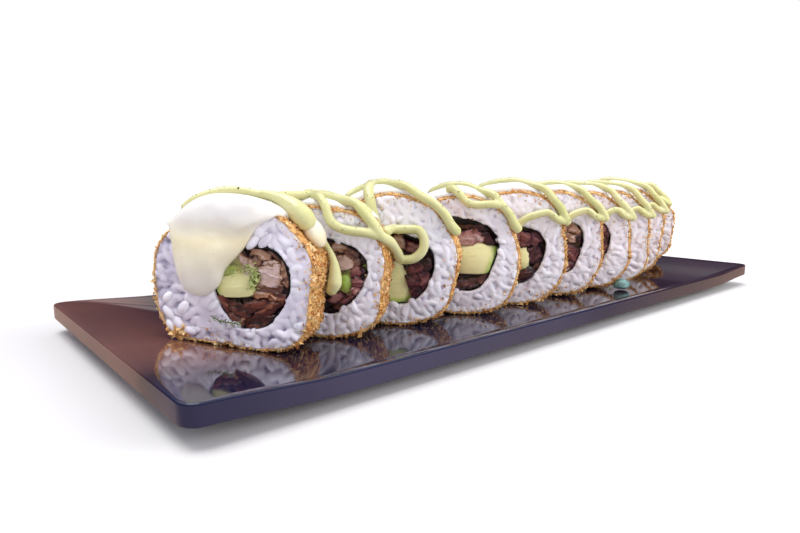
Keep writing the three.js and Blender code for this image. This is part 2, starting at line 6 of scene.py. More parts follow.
import bpy
import numpy as np
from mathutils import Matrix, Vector


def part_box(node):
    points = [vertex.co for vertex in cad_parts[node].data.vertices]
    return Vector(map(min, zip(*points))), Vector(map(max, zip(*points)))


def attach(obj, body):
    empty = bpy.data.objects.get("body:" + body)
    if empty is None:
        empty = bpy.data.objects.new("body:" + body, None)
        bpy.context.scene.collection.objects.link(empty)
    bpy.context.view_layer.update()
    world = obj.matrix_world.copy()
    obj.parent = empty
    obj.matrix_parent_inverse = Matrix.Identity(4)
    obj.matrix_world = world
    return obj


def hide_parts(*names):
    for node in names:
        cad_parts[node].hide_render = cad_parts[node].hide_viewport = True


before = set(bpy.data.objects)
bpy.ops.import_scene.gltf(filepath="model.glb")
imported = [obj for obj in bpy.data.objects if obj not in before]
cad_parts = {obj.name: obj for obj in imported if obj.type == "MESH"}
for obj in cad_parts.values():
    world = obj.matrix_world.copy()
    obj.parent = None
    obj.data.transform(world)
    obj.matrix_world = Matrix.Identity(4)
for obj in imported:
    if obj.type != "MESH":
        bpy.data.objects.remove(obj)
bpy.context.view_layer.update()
MM = 0.001
TAU = 2 * math.pi

# Plate, as in the part's source
PLATE_LENGTH = 330.0
PLATE_WIDTH = 142.0
PLATE_THICKNESS = 5.0
WELL_DEPTH = 6.8
RIM_SAG = 2.0
SAG_REACH = 45.0
RAMP_LENGTH = 55.0
WALL_WIDTH = 16.0
LIP_HEIGHT = 6.0
CORNER_RADIUS = 5.0
EDGE_ROUND = 0.7
FLOOR_TOP = PLATE_THICKNESS
RIM_TOP = FLOOR_TOP + WELL_DEPTH

# Row of slices, as in the part's source
AXIS_TURN = math.radians(47.2)
FIRST_SLICE = (-129.3, -21.5)
AXIS_STEP = 21.1
SIDE_STEP = 23.1
SIDE_STEP_LOSS = 0.185
THICKNESS = 19.0
SETTLE = 0.7
PITCH_SHARE = 0.3
GAP = 0.4
CRUMB_RELIEF = 0.45
CREAM_LIFT = 0.8
STRAND_RADIUS = 1.7
HOLE_POWER = 2.3

# For each slice, nearest first: how far it stands aside, half sizes, squareness above and below, the hole's
# middle and half sizes, the cuts that share out the fillings, whether it has pale meat, and the cream's right
# edge at the front and back, its left edge likewise, and its height. "bulge" swells the outline and "fold"
# the seaweed: turn, spread and height.
SLICES = [
    dict(
        aside=0, half=(25.6, 22.8), square=(2.1, 4), hole=(5.5, -2.2, 12.1, 13.6), fill=(-82, 3.5, 205, 0),
        pale=True, cream=(62, 34, 156, 146, 0.8), bulge=(176, 0.3, 1.6), fold=(102, 0.35, 2.2),
    ),
    dict(
        aside=-1.7, half=(23.4, 22.8), square=(2.5, 3.3), hole=(2.4, -0.8, 14, 12.8),
        fill=(-100, 5.6, -75, -0.5), pale=True, cream=(66, 42, 136, 140, 1.9),
    ),
    dict(
        aside=-2, half=(25, 24.8), square=(2.2, 3), hole=(2, -3, 14, 13.4),
        fill=(12, 3.6, -100, -2), pale=True, cream=(72, 42, 134, 134, 2.2),
    ),
    dict(
        aside=0.4, half=(24.8, 24.2), square=(2.3, 3), hole=(1.8, 0.9, 14.2, 15), fill=(84, 5, 88, -8),
        pale=True, cream=(64, 40, 130, 138, 2), fold=(96, 0.4, 2.4),
    ),
    dict(
        aside=1.2, half=(24.9, 25), square=(2.3, 2.9), hole=(1.6, -2.6, 13.8, 13),
        fill=(8, 7.4, -20, -2), pale=True, cream=(60, 38, 134, 136, 2.2),
    ),
    dict(
        aside=1.5, half=(24.6, 24.8), square=(2.3, 3), hole=(2, -1.2, 13.4, 13.4),
        fill=(-78, -0.5, 190, 0), pale=True, cream=(58, 40, 132, 138, 1.4),
    ),
    dict(
        aside=1.4, half=(24.4, 24.6), square=(2.3, 2.9), hole=(1.4, -1.2, 12.8, 12.8),
        fill=(-20, 1, 0, 0), pale=False, cream=(60, 38, 134, 136, 2),
    ),
    dict(
        aside=0.6, half=(24.6, 24.9), square=(2.3, 3), hole=(1.4, -2.4, 13, 12.6),
        fill=(-64, 0, 0, 0), pale=False, cream=(58, 40, 132, 138, 2.1),
    ),
    dict(
        aside=0, half=(24.5, 25), square=(2.3, 2.9), hole=(-0.4, 0.8, 12.6, 13),
        fill=(-10, 1, 0, 0), pale=False, cream=(58, 42, 136, 134, 2.4),
    ),
    dict(
        aside=1, half=(24.6, 23.2), square=(2.2, 2.8), hole=(0.6, -0.4, 13, 12.4),
        fill=(-40, 0, 0, 0), pale=False, cream=(52, 40, 134, 138, 1),
    ),
]
NEAREST = 3  # the slices that show best, up to this one
CREAM_FRONT = 2.6  # depth at which the cream starts
FIRST_CREAM_FRONT = -1.8


def smooth(t):
    s = np.clip(t, 0, 1)
    return s * s * (3 - 2 * s)


def lerp(a, b, t):
    return a + (b - a) * t


# Evenly spaced angles round a full turn
def round_turn(count):
    return np.arange(count) / count * TAU


# The repeatable random sequence that the part's source uses, between 0 and 1
def sequence(seed):
    state = seed * 7919 + 17
    while True:
        state = (state * 1664525 + 1013904223) & 0xFFFFFFFF
        yield state / 4294967296


# Noise over many points at once. It gives the same values each run.
def lattice_values(cells, seed):
    n = (cells[..., 0] * 73856093) ^ (cells[..., 1] * 19349663) ^ (cells[..., 2] * 83492791)
    n = n ^ (seed * 2654435761)
    n = (n ^ (n >> 13)) & 0xFFFFFFFF
    n = (n * 1274126177) & 0xFFFFFFFF
    n = (n ^ (n >> 16)) & 0xFFFFFFFF
    return n / 4294967296.0


def value_noise(points, size, seed=0):
    p = np.asarray(points, float) / size
    base = np.floor(p).astype(np.int64)
    share = smooth(p - base)
    total = 0.0
    for corner in product((0, 1), repeat=3):
        weight = 1.0
        for axis, far in enumerate(corner):
            weight = weight * (share[..., axis] if far else 1 - share[..., axis])
        total = total + weight * lattice_values(base + np.array(corner), seed)
    return 2 * total - 1


def rough_noise(points, size, seed=0, octaves=3):
    total = 0.0
    for octave in range(octaves):
        total = total + value_noise(points, size / 2**octave, seed + octave) / 2**octave
    return total / 1.6


# Distance to the nearest of scattered points, one in each cell, as a share of the cell's size
def cell_noise(points, size, seed=0):
    p = np.asarray(points, float) / size
    base = np.floor(p).astype(np.int64)
    nearest = np.full(p.shape[:-1], 9.0)
    for step in product((-1, 0, 1), repeat=3):
        cell = base + np.array(step)
        centre = cell + np.stack([lattice_values(cell, seed + k) for k in (1, 2, 3)], -1)
        nearest = np.minimum(nearest, np.linalg.norm(p - centre, axis=-1))
    return nearest


# The height of the plate's upper surface
def tray_top(x, y):
    from_end = PLATE_LENGTH / 2 - np.abs(x)
    from_side = PLATE_WIDTH / 2 - np.abs(y)
    rim = RIM_TOP - RIM_SAG * smooth(from_end / SAG_REACH)
    ramp = RIM_TOP - WELL_DEPTH * smooth(from_end / RAMP_LENGTH)
    wall = rim - (rim - FLOOR_TOP) * smooth(from_side / WALL_WIDTH)
    return np.maximum(ramp, wall)


# Slices. A slice's own frame has x to the right and z up on its cut face, and y into the roll.
OUTER_WAVES = (3, 5, 8)
OUTER_WAVE_HEIGHT = 0.3
HOLE_WAVES = (3, 4)
HOLE_WAVE_HEIGHT = 0.5
SLOPE_STEP = 4.0
UNDERSIDE = np.radians(np.arange(190, 351, 4))


def waves(random, counts, size):
    made = []
    for count in counts:
        height = size * (0.5 + next(random))
        made.append((count, height, next(random) * TAU))
    return made


def wave_sum(made, angle):
    return sum(height * np.cos(count * angle + phase) for count, height, phase in made)


# A swelling of a given height, turned to one side and fading round the slice
def swelling(angle, turn, spread, height):
    return height * np.exp((np.cos(angle - math.radians(turn)) - 1) / spread**2)


def superellipse(angle, half_x, half_z, power):
    x = np.abs(np.cos(angle)) / half_x
    z = np.abs(np.sin(angle)) / half_z
    return (x**power + z**power) ** (-1 / power)


def outer(cut, angle):
    above, below = cut["square"]
    power = lerp(below, above, smooth(0.5 + np.sin(angle)))
    bulge = swelling(angle, *cut.get("bulge", (0, 1, 0)))
    return superellipse(angle, *cut["half"], power) + wave_sum(cut["outer_waves"], angle) + bulge


def outer_point(cut, angle, outset, depth):
    angle, outset, depth = np.broadcast_arrays(angle, outset, depth)
    radius = outer(cut, angle) + outset
    return np.stack([radius * np.cos(angle), depth + 0.0 * radius, radius * np.sin(angle)], -1)


def hole_point(cut, angle, inset, depth):
    angle, inset, depth = np.broadcast_arrays(angle, inset, depth)
    x, z, half_x, half_z = cut["hole"]
    radius = superellipse(angle, half_x, half_z, HOLE_POWER) + wave_sum(cut["hole_waves"], angle) - inset
    return np.stack([x + radius * np.cos(angle), depth + 0.0 * radius, z + radius * np.sin(angle)], -1)


# Stands a slice on the plate, as the part's source does
def place(cut, x, y):
    fall_along = tray_top(x - SLOPE_STEP, y) - tray_top(x + SLOPE_STEP, y)
    fall_across = tray_top(x, y - SLOPE_STEP) - tray_top(x, y + SLOPE_STEP)
    normal = Vector((fall_along, fall_across, 2 * SLOPE_STEP))
    normal.normalize()
    axis = Vector((math.sin(AXIS_TURN), math.cos(AXIS_TURN), 0))
    normal = normal + (PITCH_SHARE - 1) * axis.dot(normal) * axis
    normal.normalize()
    axis = axis - axis.dot(normal) * normal
    axis.normalize()
    turn = np.array([axis.cross(normal), axis, normal]).T
    lift = 0.0
    for depth in (0, THICKNESS / 2, THICKNESS):
        points = outer_point(cut, UNDERSIDE, CRUMB_RELIEF, depth) @ turn.T + np.array([x, y, 0])
        lift = max(lift, float(np.max(tray_top(points[:, 0], points[:, 1]) + GAP - points[:, 2])))
    cut["turn"] = turn
    cut["origin"] = np.array([x, y, lift - SETTLE])


def set_out_row():
    x, y = FIRST_SLICE
    for index, cut in enumerate(SLICES):
        random = sequence(index + 101)
        cut["number"] = index + 1
        cut["label"] = f"{index + 1:02d}"
        cut["outer_waves"] = waves(random, OUTER_WAVES, OUTER_WAVE_HEIGHT)
        cut["hole_waves"] = waves(random, HOLE_WAVES, HOLE_WAVE_HEIGHT)
        cut["cream_front"] = FIRST_CREAM_FRONT if index == 0 else CREAM_FRONT
        place(cut, x + cut["aside"] * math.cos(AXIS_TURN), y - cut["aside"] * math.sin(AXIS_TURN))
        side_step = SIDE_STEP - SIDE_STEP_LOSS * index**2
        x += AXIS_STEP * math.sin(AXIS_TURN) + side_step * math.cos(AXIS_TURN)
        y += AXIS_STEP * math.cos(AXIS_TURN) - side_step * math.sin(AXIS_TURN)


def to_plate(cut, points):
    return np.asarray(points) @ cut["turn"].T + cut["origin"]


# The same, with what would sink into the plate lifted onto it
def settled(cut, points, gap=0.1):
    world = to_plate(cut, points)
    world[:, 2] = np.maximum(world[:, 2], tray_top(world[:, 0], world[:, 1]) + gap)
    return world


# Nodes. A socket takes a link, a colour or a number.
BLACK = (0.0, 0.0, 0.0)
WHITE = (1.0, 1.0, 1.0)


def feed(tree, socket, value):
    if isinstance(value, bpy.types.NodeSocket):
        tree.links.new(value, socket)
    elif isinstance(value, tuple):
        socket.default_value = (*value, 1)
    else:
        socket.default_value = value


def add_node(tree, kind, inputs=None, **settings):
    node = tree.nodes.new("ShaderNode" + kind)
    for label, value in settings.items():
        setattr(node, label, value)
    for label, value in (inputs or {}).items():
        feed(tree, node.inputs[label], value)
    return node


# A colour mix has its share at input 0, its colours at 6 and 7, and the mixed colour at output 2.
def mix_colours(tree, share, first, second):
    return add_node(tree, "Mix", data_type="RGBA", inputs={0: share, 6: first, 7: second}).outputs[2]


def colour_ramp(tree, stops, factor):
    node = add_node(tree, "ValToRGB", {"Fac": factor})
    elements = node.color_ramp.elements
    while len(elements) < len(stops):
        elements.new(0.5)
    for element, (position, colour) in zip(elements, stops):
        element.position = position
        element.color = (*colour, 1)
    return node.outputs["Color"]


# Effects that several finishes use are node groups, each built once.
def new_group(name, inputs, output, output_kind):
    tree = bpy.data.node_groups.new(name, "ShaderNodeTree")
    for label, value in inputs.items():
        kind = "NodeSocketColor" if isinstance(value, tuple) else "NodeSocketFloat"
        socket = tree.interface.new_socket(label, in_out="INPUT", socket_type=kind)
        socket.default_value = value
    tree.interface.new_socket(output, in_out="OUTPUT", socket_type=output_kind)
    return tree, tree.nodes.new("NodeGroupInput").outputs, tree.nodes.new("NodeGroupOutput").inputs


GRAIN_INPUTS = {"Scale": 500.0, "Detail": 3.0, "From": 0.3, "To": 0.7}
MOTTLE_INPUTS = {
    "Color": (0.5, 0.5, 0.5, 1),
    "Patch Color": (0.3, 0.3, 0.3, 1),
    **GRAIN_INPUTS,
    "Amount": 1.0,
}


# "grain": a mask of noise, spread between two levels, at a scale in features per metre
def grain_group():
    tree, given, made = new_group("grain", GRAIN_INPUTS, "Mask", "NodeSocketFloat")
    spot = add_node(tree, "TexCoord").outputs["Object"]
    cloud = add_node(tree, "TexNoise", {"Vector": spot, "Scale": given["Scale"], "Detail": given["Detail"]})
    spread = {"Value": cloud.outputs["Fac"], "From Min": given["From"], "From Max": given["To"]}
    feed(tree, made["Mask"], add_node(tree, "MapRange", spread).outputs["Result"])
    return tree


# "mottle": patches of a second colour over the first
def mottle_group(grain):
    tree, given, made = new_group("mottle", MOTTLE_INPUTS, "Color", "NodeSocketColor")
    patches = add_node(tree, "Group", node_tree=grain)
    for label in GRAIN_INPUTS:
        feed(tree, patches.inputs[label], given[label])
    share = add_node(tree, "Math", {0: patches.outputs["Mask"], 1: given["Amount"]}, operation="MULTIPLY")
    feed(tree, made["Color"], mix_colours(tree, share.outputs[0], given["Color"], given["Patch Color"]))
    return tree


GRAIN = grain_group()
MOTTLE = mottle_group(GRAIN)


# A material whose shader takes plain values by name. Colours, masks and bumps are linked to it.
class Finish:
    def __init__(self, name, **values):
        self.material = bpy.data.materials.new(name)
        self.material.use_nodes = True
        self.tree = self.material.node_tree
        self.shader = self.tree.nodes["Principled BSDF"]
        for label, value in values.items():
            self.shader.inputs[label.replace("_", " ")].default_value = value

    def node(self, kind, inputs=None, **settings):
        return add_node(self.tree, kind, inputs, **settings)

    def link(self, label, value):
        feed(self.tree, self.shader.inputs[label], value)

    def grain(self, scale, detail, low, high):
        inputs = {"Scale": scale, "Detail": detail, "From": low, "To": high}
        return self.node("Group", node_tree=GRAIN, inputs=inputs).outputs["Mask"]

    def mottle(self, colour, patch, scale, detail, low, high, amount=1.0):
        inputs = {"Color": colour, "Patch Color": patch, "Scale": scale, "Detail": detail}
        inputs.update({"From": low, "To": high, "Amount": amount})
        return self.node("Group", node_tree=MOTTLE, inputs=inputs).outputs["Color"]

    # Colours along the "tone" that each mesh carries, or along a mask
    def ramp(self, stops, factor=None):
        if factor is None:
            factor = self.node("Attribute", attribute_name="tone").outputs["Fac"]
        return colour_ramp(self.tree, stops, factor)

    def roughen(self, low, high, mask):
        self.link("Roughness", self.ramp([(0.0, (low,) * 3), (1.0, (high,) * 3)], mask))

    def bump(self, height, strength, distance):
        node = self.node("Bump", {"Height": height, "Strength": strength, "Distance": distance})
        self.link("Normal", node.outputs["Normal"])


# Colours along the tone of each piece
# Plate: near black, with navy, plum and warm brown tints that are painted reflections of the surroundings
PLATE_REFLECTION_TONES = [
    (0.0, (0.045, 0.042, 0.078)),
    (0.2, (0.006, 0.009, 0.038)),
    (0.6, (0.026, 0.009, 0.011)),
    (1.0, (0.20, 0.085, 0.06)),
]
# Rice: its darker, bluer tones are painted shade; its palest are the rice's own colour
RICE_SHADED_TO_LIT_TONES = [
    (0.0, (0.36, 0.34, 0.47)),
    (0.35, (0.63, 0.59, 0.71)),
    (0.7, (0.79, 0.76, 0.86)),
    (1.0, (0.88, 0.86, 0.94)),
]
CRUST_TONES = [
    (0.0, (0.36, 0.13, 0.03)),
    (0.3, (0.62, 0.30, 0.075)),
    (0.65, (0.76, 0.45, 0.16)),
    (1.0, (0.86, 0.64, 0.34)),
]
AVOCADO_TONES = [
    (0.0, (0.86, 0.82, 0.43)),
    (0.45, (0.72, 0.73, 0.28)),
    (0.8, (0.43, 0.57, 0.10)),
    (1.0, (0.22, 0.40, 0.04)),
]
DARK_MEAT_TONES = [
    (0.0, (0.008, 0.003, 0.004)),
    (0.22, (0.055, 0.012, 0.010)),
    (0.45, (0.17, 0.040, 0.026)),
    (0.75, (0.46, 0.19, 0.08)),
    (1.0, (0.62, 0.48, 0.40)),
]
RED_MEAT_TONES = [
    (0.0, (0.010, 0.003, 0.006)),
    (0.22, (0.060, 0.012, 0.018)),
    (0.45, (0.19, 0.050, 0.055)),
    (0.75, (0.44, 0.21, 0.18)),
    (1.0, (0.68, 0.52, 0.49)),
]
PALE_MEAT_TONES = [
    (0.0, (0.018, 0.008, 0.008)),
    (0.22, (0.14, 0.05, 0.04)),
    (0.42, (0.38, 0.20, 0.11)),
    (0.68, (0.60, 0.42, 0.36)),
    (1.0, (0.72, 0.56, 0.58)),
]
WASABI_TONES = [(0.2, (0.08, 0.24, 0.23)), (0.8, (0.26, 0.42, 0.41))]
# Cream from its lowest edge to its top, between two heights in metres: thick and yellow low down, pale above
CREAM_TONES = [
    (0.0, (0.80, 0.77, 0.70)),
    (0.45, (0.77, 0.70, 0.48)),
    (0.7, (0.85, 0.83, 0.79)),
    (1.0, (0.86, 0.855, 0.85)),
]
CREAM_LOW = 0.028
CREAM_HIGH = 0.058


# The plate's gloss grows where it is seen at a slant.
def plate_finish():
    finish = Finish("dark glossy melamine", Roughness=0.13, IOR=1.42, Coat_Roughness=0.05, Coat_IOR=2.2)
    ground = finish.ramp(PLATE_REFLECTION_TONES)
    cloudy = finish.mottle(ground, (0.012, 0.009, 0.020), scale=14, detail=3, low=0.4, high=0.7, amount=0.4)
    finish.link("Base Color", cloudy)
    finish.roughen(0.05, 0.16, finish.grain(scale=46, detail=5, low=0.35, high=0.75))
    slant = finish.node("LayerWeight").outputs["Facing"]
    finish.link("Coat Weight", finish.ramp([(0.3, BLACK), (0.72, (0.5, 0.5, 0.5))], slant))
    return finish.material


def rice_finish():
    finish = Finish(
        "sticky rice", Roughness=0.4, IOR=1.4,
        Subsurface_Weight=0.3, Subsurface_Scale=0.001, Subsurface_Radius=(1, 0.8, 0.9),
    )
    ground = finish.ramp(RICE_SHADED_TO_LIT_TONES)
    milky = finish.mottle(ground, (0.85, 0.82, 0.88), scale=160, detail=3, low=0.45, high=0.8, amount=0.5)
    finish.link("Base Color", milky)
    finish.bump(finish.grain(scale=900, detail=3, low=0, high=1), strength=0.12, distance=0.0003)
    return finish.material


def crust_finish():
    finish = Finish(
        "golden crumb crust", Roughness=0.6,
        Subsurface_Weight=0.15, Subsurface_Scale=0.0008, Subsurface_Radius=(1, 0.5, 0.2),
    )
    ground = finish.ramp(CRUST_TONES)
    browned = finish.mottle(ground, (0.15, 0.05, 0.015), scale=520, detail=2, low=0.6, high=0.72, amount=0.8)
    paler = finish.mottle(browned, (0.88, 0.66, 0.36), scale=240, detail=3, low=0.45, high=0.75, amount=0.4)
    finish.link("Base Color", paler)
    finish.bump(finish.grain(scale=1400, detail=3, low=0.3, high=0.7), strength=0.35, distance=0.0003)
    return finish.material


def nori_finish():
    finish = Finish("damp seaweed", Roughness=0.5, Specular_IOR_Level=0.25)
    black, brown = (0.004, 0.004, 0.004), (0.018, 0.014, 0.010)
    finish.link("Base Color", finish.mottle(black, brown, scale=700, detail=4, low=0.4, high=0.7))
    finish.bump(finish.grain(scale=700, detail=4, low=0, high=1), strength=0.5, distance=0.0004)
    return finish.material


def avocado_finish():
    finish = Finish(
        "avocado flesh", Roughness=0.36,
        Subsurface_Weight=0.25, Subsurface_Scale=0.001, Subsurface_Radius=(1, 1, 0.4),
    )
    ground = finish.ramp(AVOCADO_TONES)
    creamy = finish.mottle(ground, (0.84, 0.82, 0.52), scale=260, detail=4, low=0.45, high=0.8, amount=0.5)
    finish.link("Base Color", creamy)
    finish.bump(finish.grain(scale=500, detail=4, low=0, high=1), strength=0.2, distance=0.0004)
    return finish.material


# Meat is streaked with its own darker and paler tones.
def meat_finish(name, stops):
    finish = Finish(
        name, Roughness=0.3, Coat_Weight=0.5, Coat_Roughness=0.16,
        Subsurface_Weight=0.08, Subsurface_Scale=0.0008, Subsurface_Radius=(1, 0.4, 0.3),
    )
    dark = stops[1][1]
    pale = stops[-2][1]
    streaks = finish.mottle(finish.ramp(stops), dark, scale=900, detail=4, low=0.5, high=0.75, amount=0.4)
    fibres = finish.mottle(streaks, pale, scale=420, detail=3, low=0.55, high=0.75, amount=0.35)
    finish.link("Base Color", fibres)
    finish.bump(finish.grain(scale=1100, detail=4, low=0, high=1), strength=0.4, distance=0.0004)
    return finish.material


def cream_finish():
    finish = Finish(
        "melted cream", Roughness=0.2, Coat_Weight=0.2, Coat_Roughness=0.1,
        Subsurface_Weight=0.4, Subsurface_Scale=0.002, Subsurface_Radius=(1, 0.85, 0.6),
    )
    spot = finish.node("TexCoord").outputs["Object"]
    height = finish.node("SeparateXYZ", {0: spot}).outputs["Z"]
    level = finish.node("MapRange", {"Value": height, "From Min": CREAM_LOW, "From Max": CREAM_HIGH})
    body = finish.ramp(CREAM_TONES, level.outputs["Result"])
    clouded = finish.mottle(body, (0.84, 0.79, 0.68), scale=70, detail=2, low=0.5, high=0.8, amount=0.5)
    finish.link("Base Color", clouded)
    finish.roughen(0.16, 0.3, finish.grain(scale=90, detail=3, low=0.3, high=0.7))
    return finish.material


def sauce_finish():
    finish = Finish(
        "herb sauce", Roughness=0.24,
        Subsurface_Weight=0.35, Subsurface_Scale=0.002, Subsurface_Radius=(1, 0.95, 0.5),
    )
    cloud = finish.mottle((0.66, 0.64, 0.36), (0.55, 0.56, 0.25), scale=90, detail=3, low=0.3, high=0.7)
    flecked = finish.mottle(cloud, (0.30, 0.34, 0.10), scale=1500, detail=1, low=0.7, high=0.76, amount=0.7)
    finish.link("Base Color", flecked)
    return finish.material


def leaf_finish(name, dark, light):
    finish = Finish(name, Roughness=0.45)
    finish.link("Base Color", finish.mottle(dark, light, scale=800, detail=3, low=0.3, high=0.7))
    return finish.material


def wasabi_finish():
    finish = Finish(
        "wasabi", Roughness=0.45,
        Subsurface_Weight=0.2, Subsurface_Scale=0.001, Subsurface_Radius=(0.6, 1, 0.8),
    )
    finish.link("Base Color", finish.ramp(WASABI_TONES))
    finish.bump(finish.grain(scale=900, detail=4, low=0, high=1), strength=0.4, distance=0.0004)
    return finish.material


FINISHES = dict(
    plate=plate_finish(),
    rice=rice_finish(),
    crust=crust_finish(),
    nori=nori_finish(),
    avocado=avocado_finish(),
    meat=meat_finish("dark meat", DARK_MEAT_TONES),
    red_meat=meat_finish("red meat", RED_MEAT_TONES),
    pale_meat=meat_finish("pale meat", PALE_MEAT_TONES),
    cream=cream_finish(),
    sauce=sauce_finish(),
    dill=leaf_finish("dill leaves", (0.03, 0.05, 0.018), (0.20, 0.26, 0.09)),
    herb=leaf_finish("chopped herb", (0.26, 0.36, 0.08), (0.66, 0.70, 0.30)),
    speck=leaf_finish("dried herb", (0.035, 0.05, 0.012), (0.12, 0.15, 0.04)),
    wasabi=wasabi_finish(),
)


# Points and faces of one piece, gathered as they are made, with a tone for each point
class Parts:
    def __init__(self):
        self.points = []
        self.faces = {3: [], 4: []}
        self.smooth = {3: [], 4: []}
        self.tones = []
        self.count = 0

    def add(self, points, faces, tone=0.0, soft=True):
        points = np.asarray(points, float).reshape(-1, 3)
        for group in faces:
            group = np.asarray(group, np.int64)
            self.faces[group.shape[1]].append(group + self.count)
            self.smooth[group.shape[1]].append(np.full(len(group), soft))
        self.points.append(points)
        self.tones.append(np.broadcast_to(np.asarray(tone, float), (len(points),)))
        self.count += len(points)

    # Moves what was made in a slice's own frame to its place on the plate
    def stand(self, cut):
        self.points = [to_plate(cut, own) for own in self.points]


def build_mesh(name, parts):
    points = np.concatenate(parts.points) * MM
    mesh = bpy.data.meshes.new(name)
    none = [np.zeros((0, 3), np.int64)], [np.zeros((0, 4), np.int64)]
    triangles = np.concatenate(parts.faces[3] or none[0])
    quads = np.concatenate(parts.faces[4] or none[1])
    corners = np.concatenate([triangles.ravel(), quads.ravel()])
    counts = np.concatenate([np.full(len(triangles), 3), np.full(len(quads), 4)])
    starts = np.concatenate([[0], np.cumsum(counts)[:-1]])
    mesh.vertices.add(len(points))
    mesh.vertices.foreach_set("co", points.astype(np.float32).ravel())
    mesh.loops.add(len(corners))
    mesh.loops.foreach_set("vertex_index", corners.astype(np.int32))
    mesh.polygons.add(len(counts))
    mesh.polygons.foreach_set("loop_start", starts.astype(np.int32))
    mesh.polygons.foreach_set("use_smooth", np.concatenate(parts.smooth[3] + parts.smooth[4]))
    mesh.update(calc_edges=True)
    mesh.validate()
    tone = mesh.attributes.new("tone", "FLOAT", "POINT")
    tone.data.foreach_set("value", np.concatenate(parts.tones).astype(np.float32))
    return mesh


def add_object(name, data):
    made = bpy.data.objects.new(name, data)
    bpy.context.scene.collection.objects.link(made)
    return made


# Melts the bodies of a piece into one skin and softens it
def melt(piece, voxel, smoothing):
    remesh = piece.modifiers.new("Melt", "REMESH")
    remesh.mode = "VOXEL"
    remesh.voxel_size = voxel * MM
    remesh.use_smooth_shade = True
    soften = piece.modifiers.new("Soften", "SMOOTH")
    soften.factor = 0.5
    soften.iterations = smoothing
    graph = bpy.context.evaluated_depsgraph_get()
    piece.data = bpy.data.meshes.new_from_object(piece.evaluated_get(graph))
    piece.modifiers.clear()
    piece.data.name = piece.name
    piece.data.polygons.foreach_set("use_smooth", [True] * len(piece.data.polygons))


def mesh_piece(name, parts, finish, replaces=(), voxel=0.0, smoothing=0):
    piece = add_object(name, build_mesh(name, parts))
    if voxel:
        melt(piece, voxel, smoothing)
    piece.data.materials.clear()
    piece.data.materials.append(FINISHES[finish])
    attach(piece, "root")
    if replaces:
        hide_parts(*replaces)


# Quads between loops that all have the same number of points. "ring" joins the last loop to the first.
def loop_faces(loop_count, point_count, ring=False):
    i = np.arange(loop_count if ring else loop_count - 1)[:, None]
    j = np.arange(point_count)[None, :]
    k = (j + 1) % point_count
    here = i * point_count
    there = ((i + 1) % loop_count) * point_count
    return np.stack([here + j, here + k, there + k, there + j], -1).reshape(-1, 4)


def fan_faces(loop_start, point_count, centre, flip=False):
    j = np.arange(point_count)
    k = (j + 1) % point_count
    tip = np.full(point_count, centre)
    rim = [loop_start + k, loop_start + j] if flip else [loop_start + j, loop_start + k]
    return np.stack([tip, *rim], -1)


# A closed skin over loops (loops x points x 3), ended by two points, or a ring of loops
def loft(parts, loops, ends=None, tone=0.0):
    loops = np.asarray(loops, float)
    count, size = loops.shape[:2]
    flat = loops.reshape(-1, 3)
    if ends is None:
        parts.add(flat, [loop_faces(count, size, ring=True)], tone)
        return
    points = np.concatenate([flat, np.asarray(ends, float).reshape(2, 3)])
    first = fan_faces(0, size, len(flat), flip=True)
    last = fan_faces((count - 1) * size, size, len(flat) + 1)
    parts.add(points, [loop_faces(count, size), first, last], tone)


# A smooth curve through points, with knots spaced by the root of their distance
def curve_through(points, count, closed=False):
    points = [np.asarray(p, float) for p in points]
    if closed:
        extended = [points[-1]] + points + [points[0], points[1]]
    else:
        extended = [2 * points[0] - points[1]] + points + [2 * points[-1] - points[-2]]
    spans = len(points) if closed else len(points) - 1
    made = []
    for t in np.linspace(0, spans, count, endpoint=not closed):
        i = min(int(t), spans - 1)
        p0, p1, p2, p3 = extended[i : i + 4]
        k0 = 0.0
        k1 = k0 + max(np.linalg.norm(p1 - p0) ** 0.5, 1e-6)
        k2 = k1 + max(np.linalg.norm(p2 - p1) ** 0.5, 1e-6)
        k3 = k2 + max(np.linalg.norm(p3 - p2) ** 0.5, 1e-6)
        k = lerp(k1, k2, t - i)
        a1 = (k1 - k) / (k1 - k0) * p0 + (k - k0) / (k1 - k0) * p1
        a2 = (k2 - k) / (k2 - k1) * p1 + (k - k1) / (k2 - k1) * p2
        a3 = (k3 - k) / (k3 - k2) * p2 + (k - k2) / (k3 - k2) * p3
        b1 = (k2 - k) / (k2 - k0) * a1 + (k - k0) / (k2 - k0) * a2
        b2 = (k3 - k) / (k3 - k1) * a2 + (k - k1) / (k3 - k1) * a3
        made.append((k2 - k) / (k2 - k1) * b1 + (k - k1) / (k2 - k1) * b2)
    return np.array(made)


# A tube along a route, with a radius for each point
def tube(parts, route, radius, sides=14):
    tangent = np.gradient(route, axis=0)
    tangent /= np.linalg.norm(tangent, axis=1, keepdims=True)
    normal = np.cross(tangent[0], [0, 0, 1.0])
    if np.linalg.norm(normal) < 0.1:
        normal = np.cross(tangent[0], [0, 1.0, 0])
    angle = round_turn(sides)
    loops = []
    for p, along, r in zip(route, tangent, np.broadcast_to(radius, (len(route),))):
        normal = normal - along * normal.dot(along)
        normal /= np.linalg.norm(normal)
        second = np.cross(along, normal)
        loops.append(p + r * (np.cos(angle)[:, None] * normal + np.sin(angle)[:, None] * second))
    loft(parts, loops, [route[0], route[-1]])


# A ball of radius 1 whose poles lie along x
def unit_ball(sides, rings):
    t = np.linspace(0, math.pi, rings + 2)[1:-1, None]
    a = round_turn(sides)
    loops = np.stack([np.cos(t) + 0 * a, np.sin(t) * np.cos(a), np.sin(t) * np.sin(a)], -1)
    points = np.concatenate([loops.reshape(-1, 3), [[1, 0, 0], [-1, 0, 0]]])
    first = fan_faces(0, sides, rings * sides, flip=True)
    last = fan_faces((rings - 1) * sides, sides, rings * sides + 1)
    return points, [loop_faces(rings, sides), first, last]


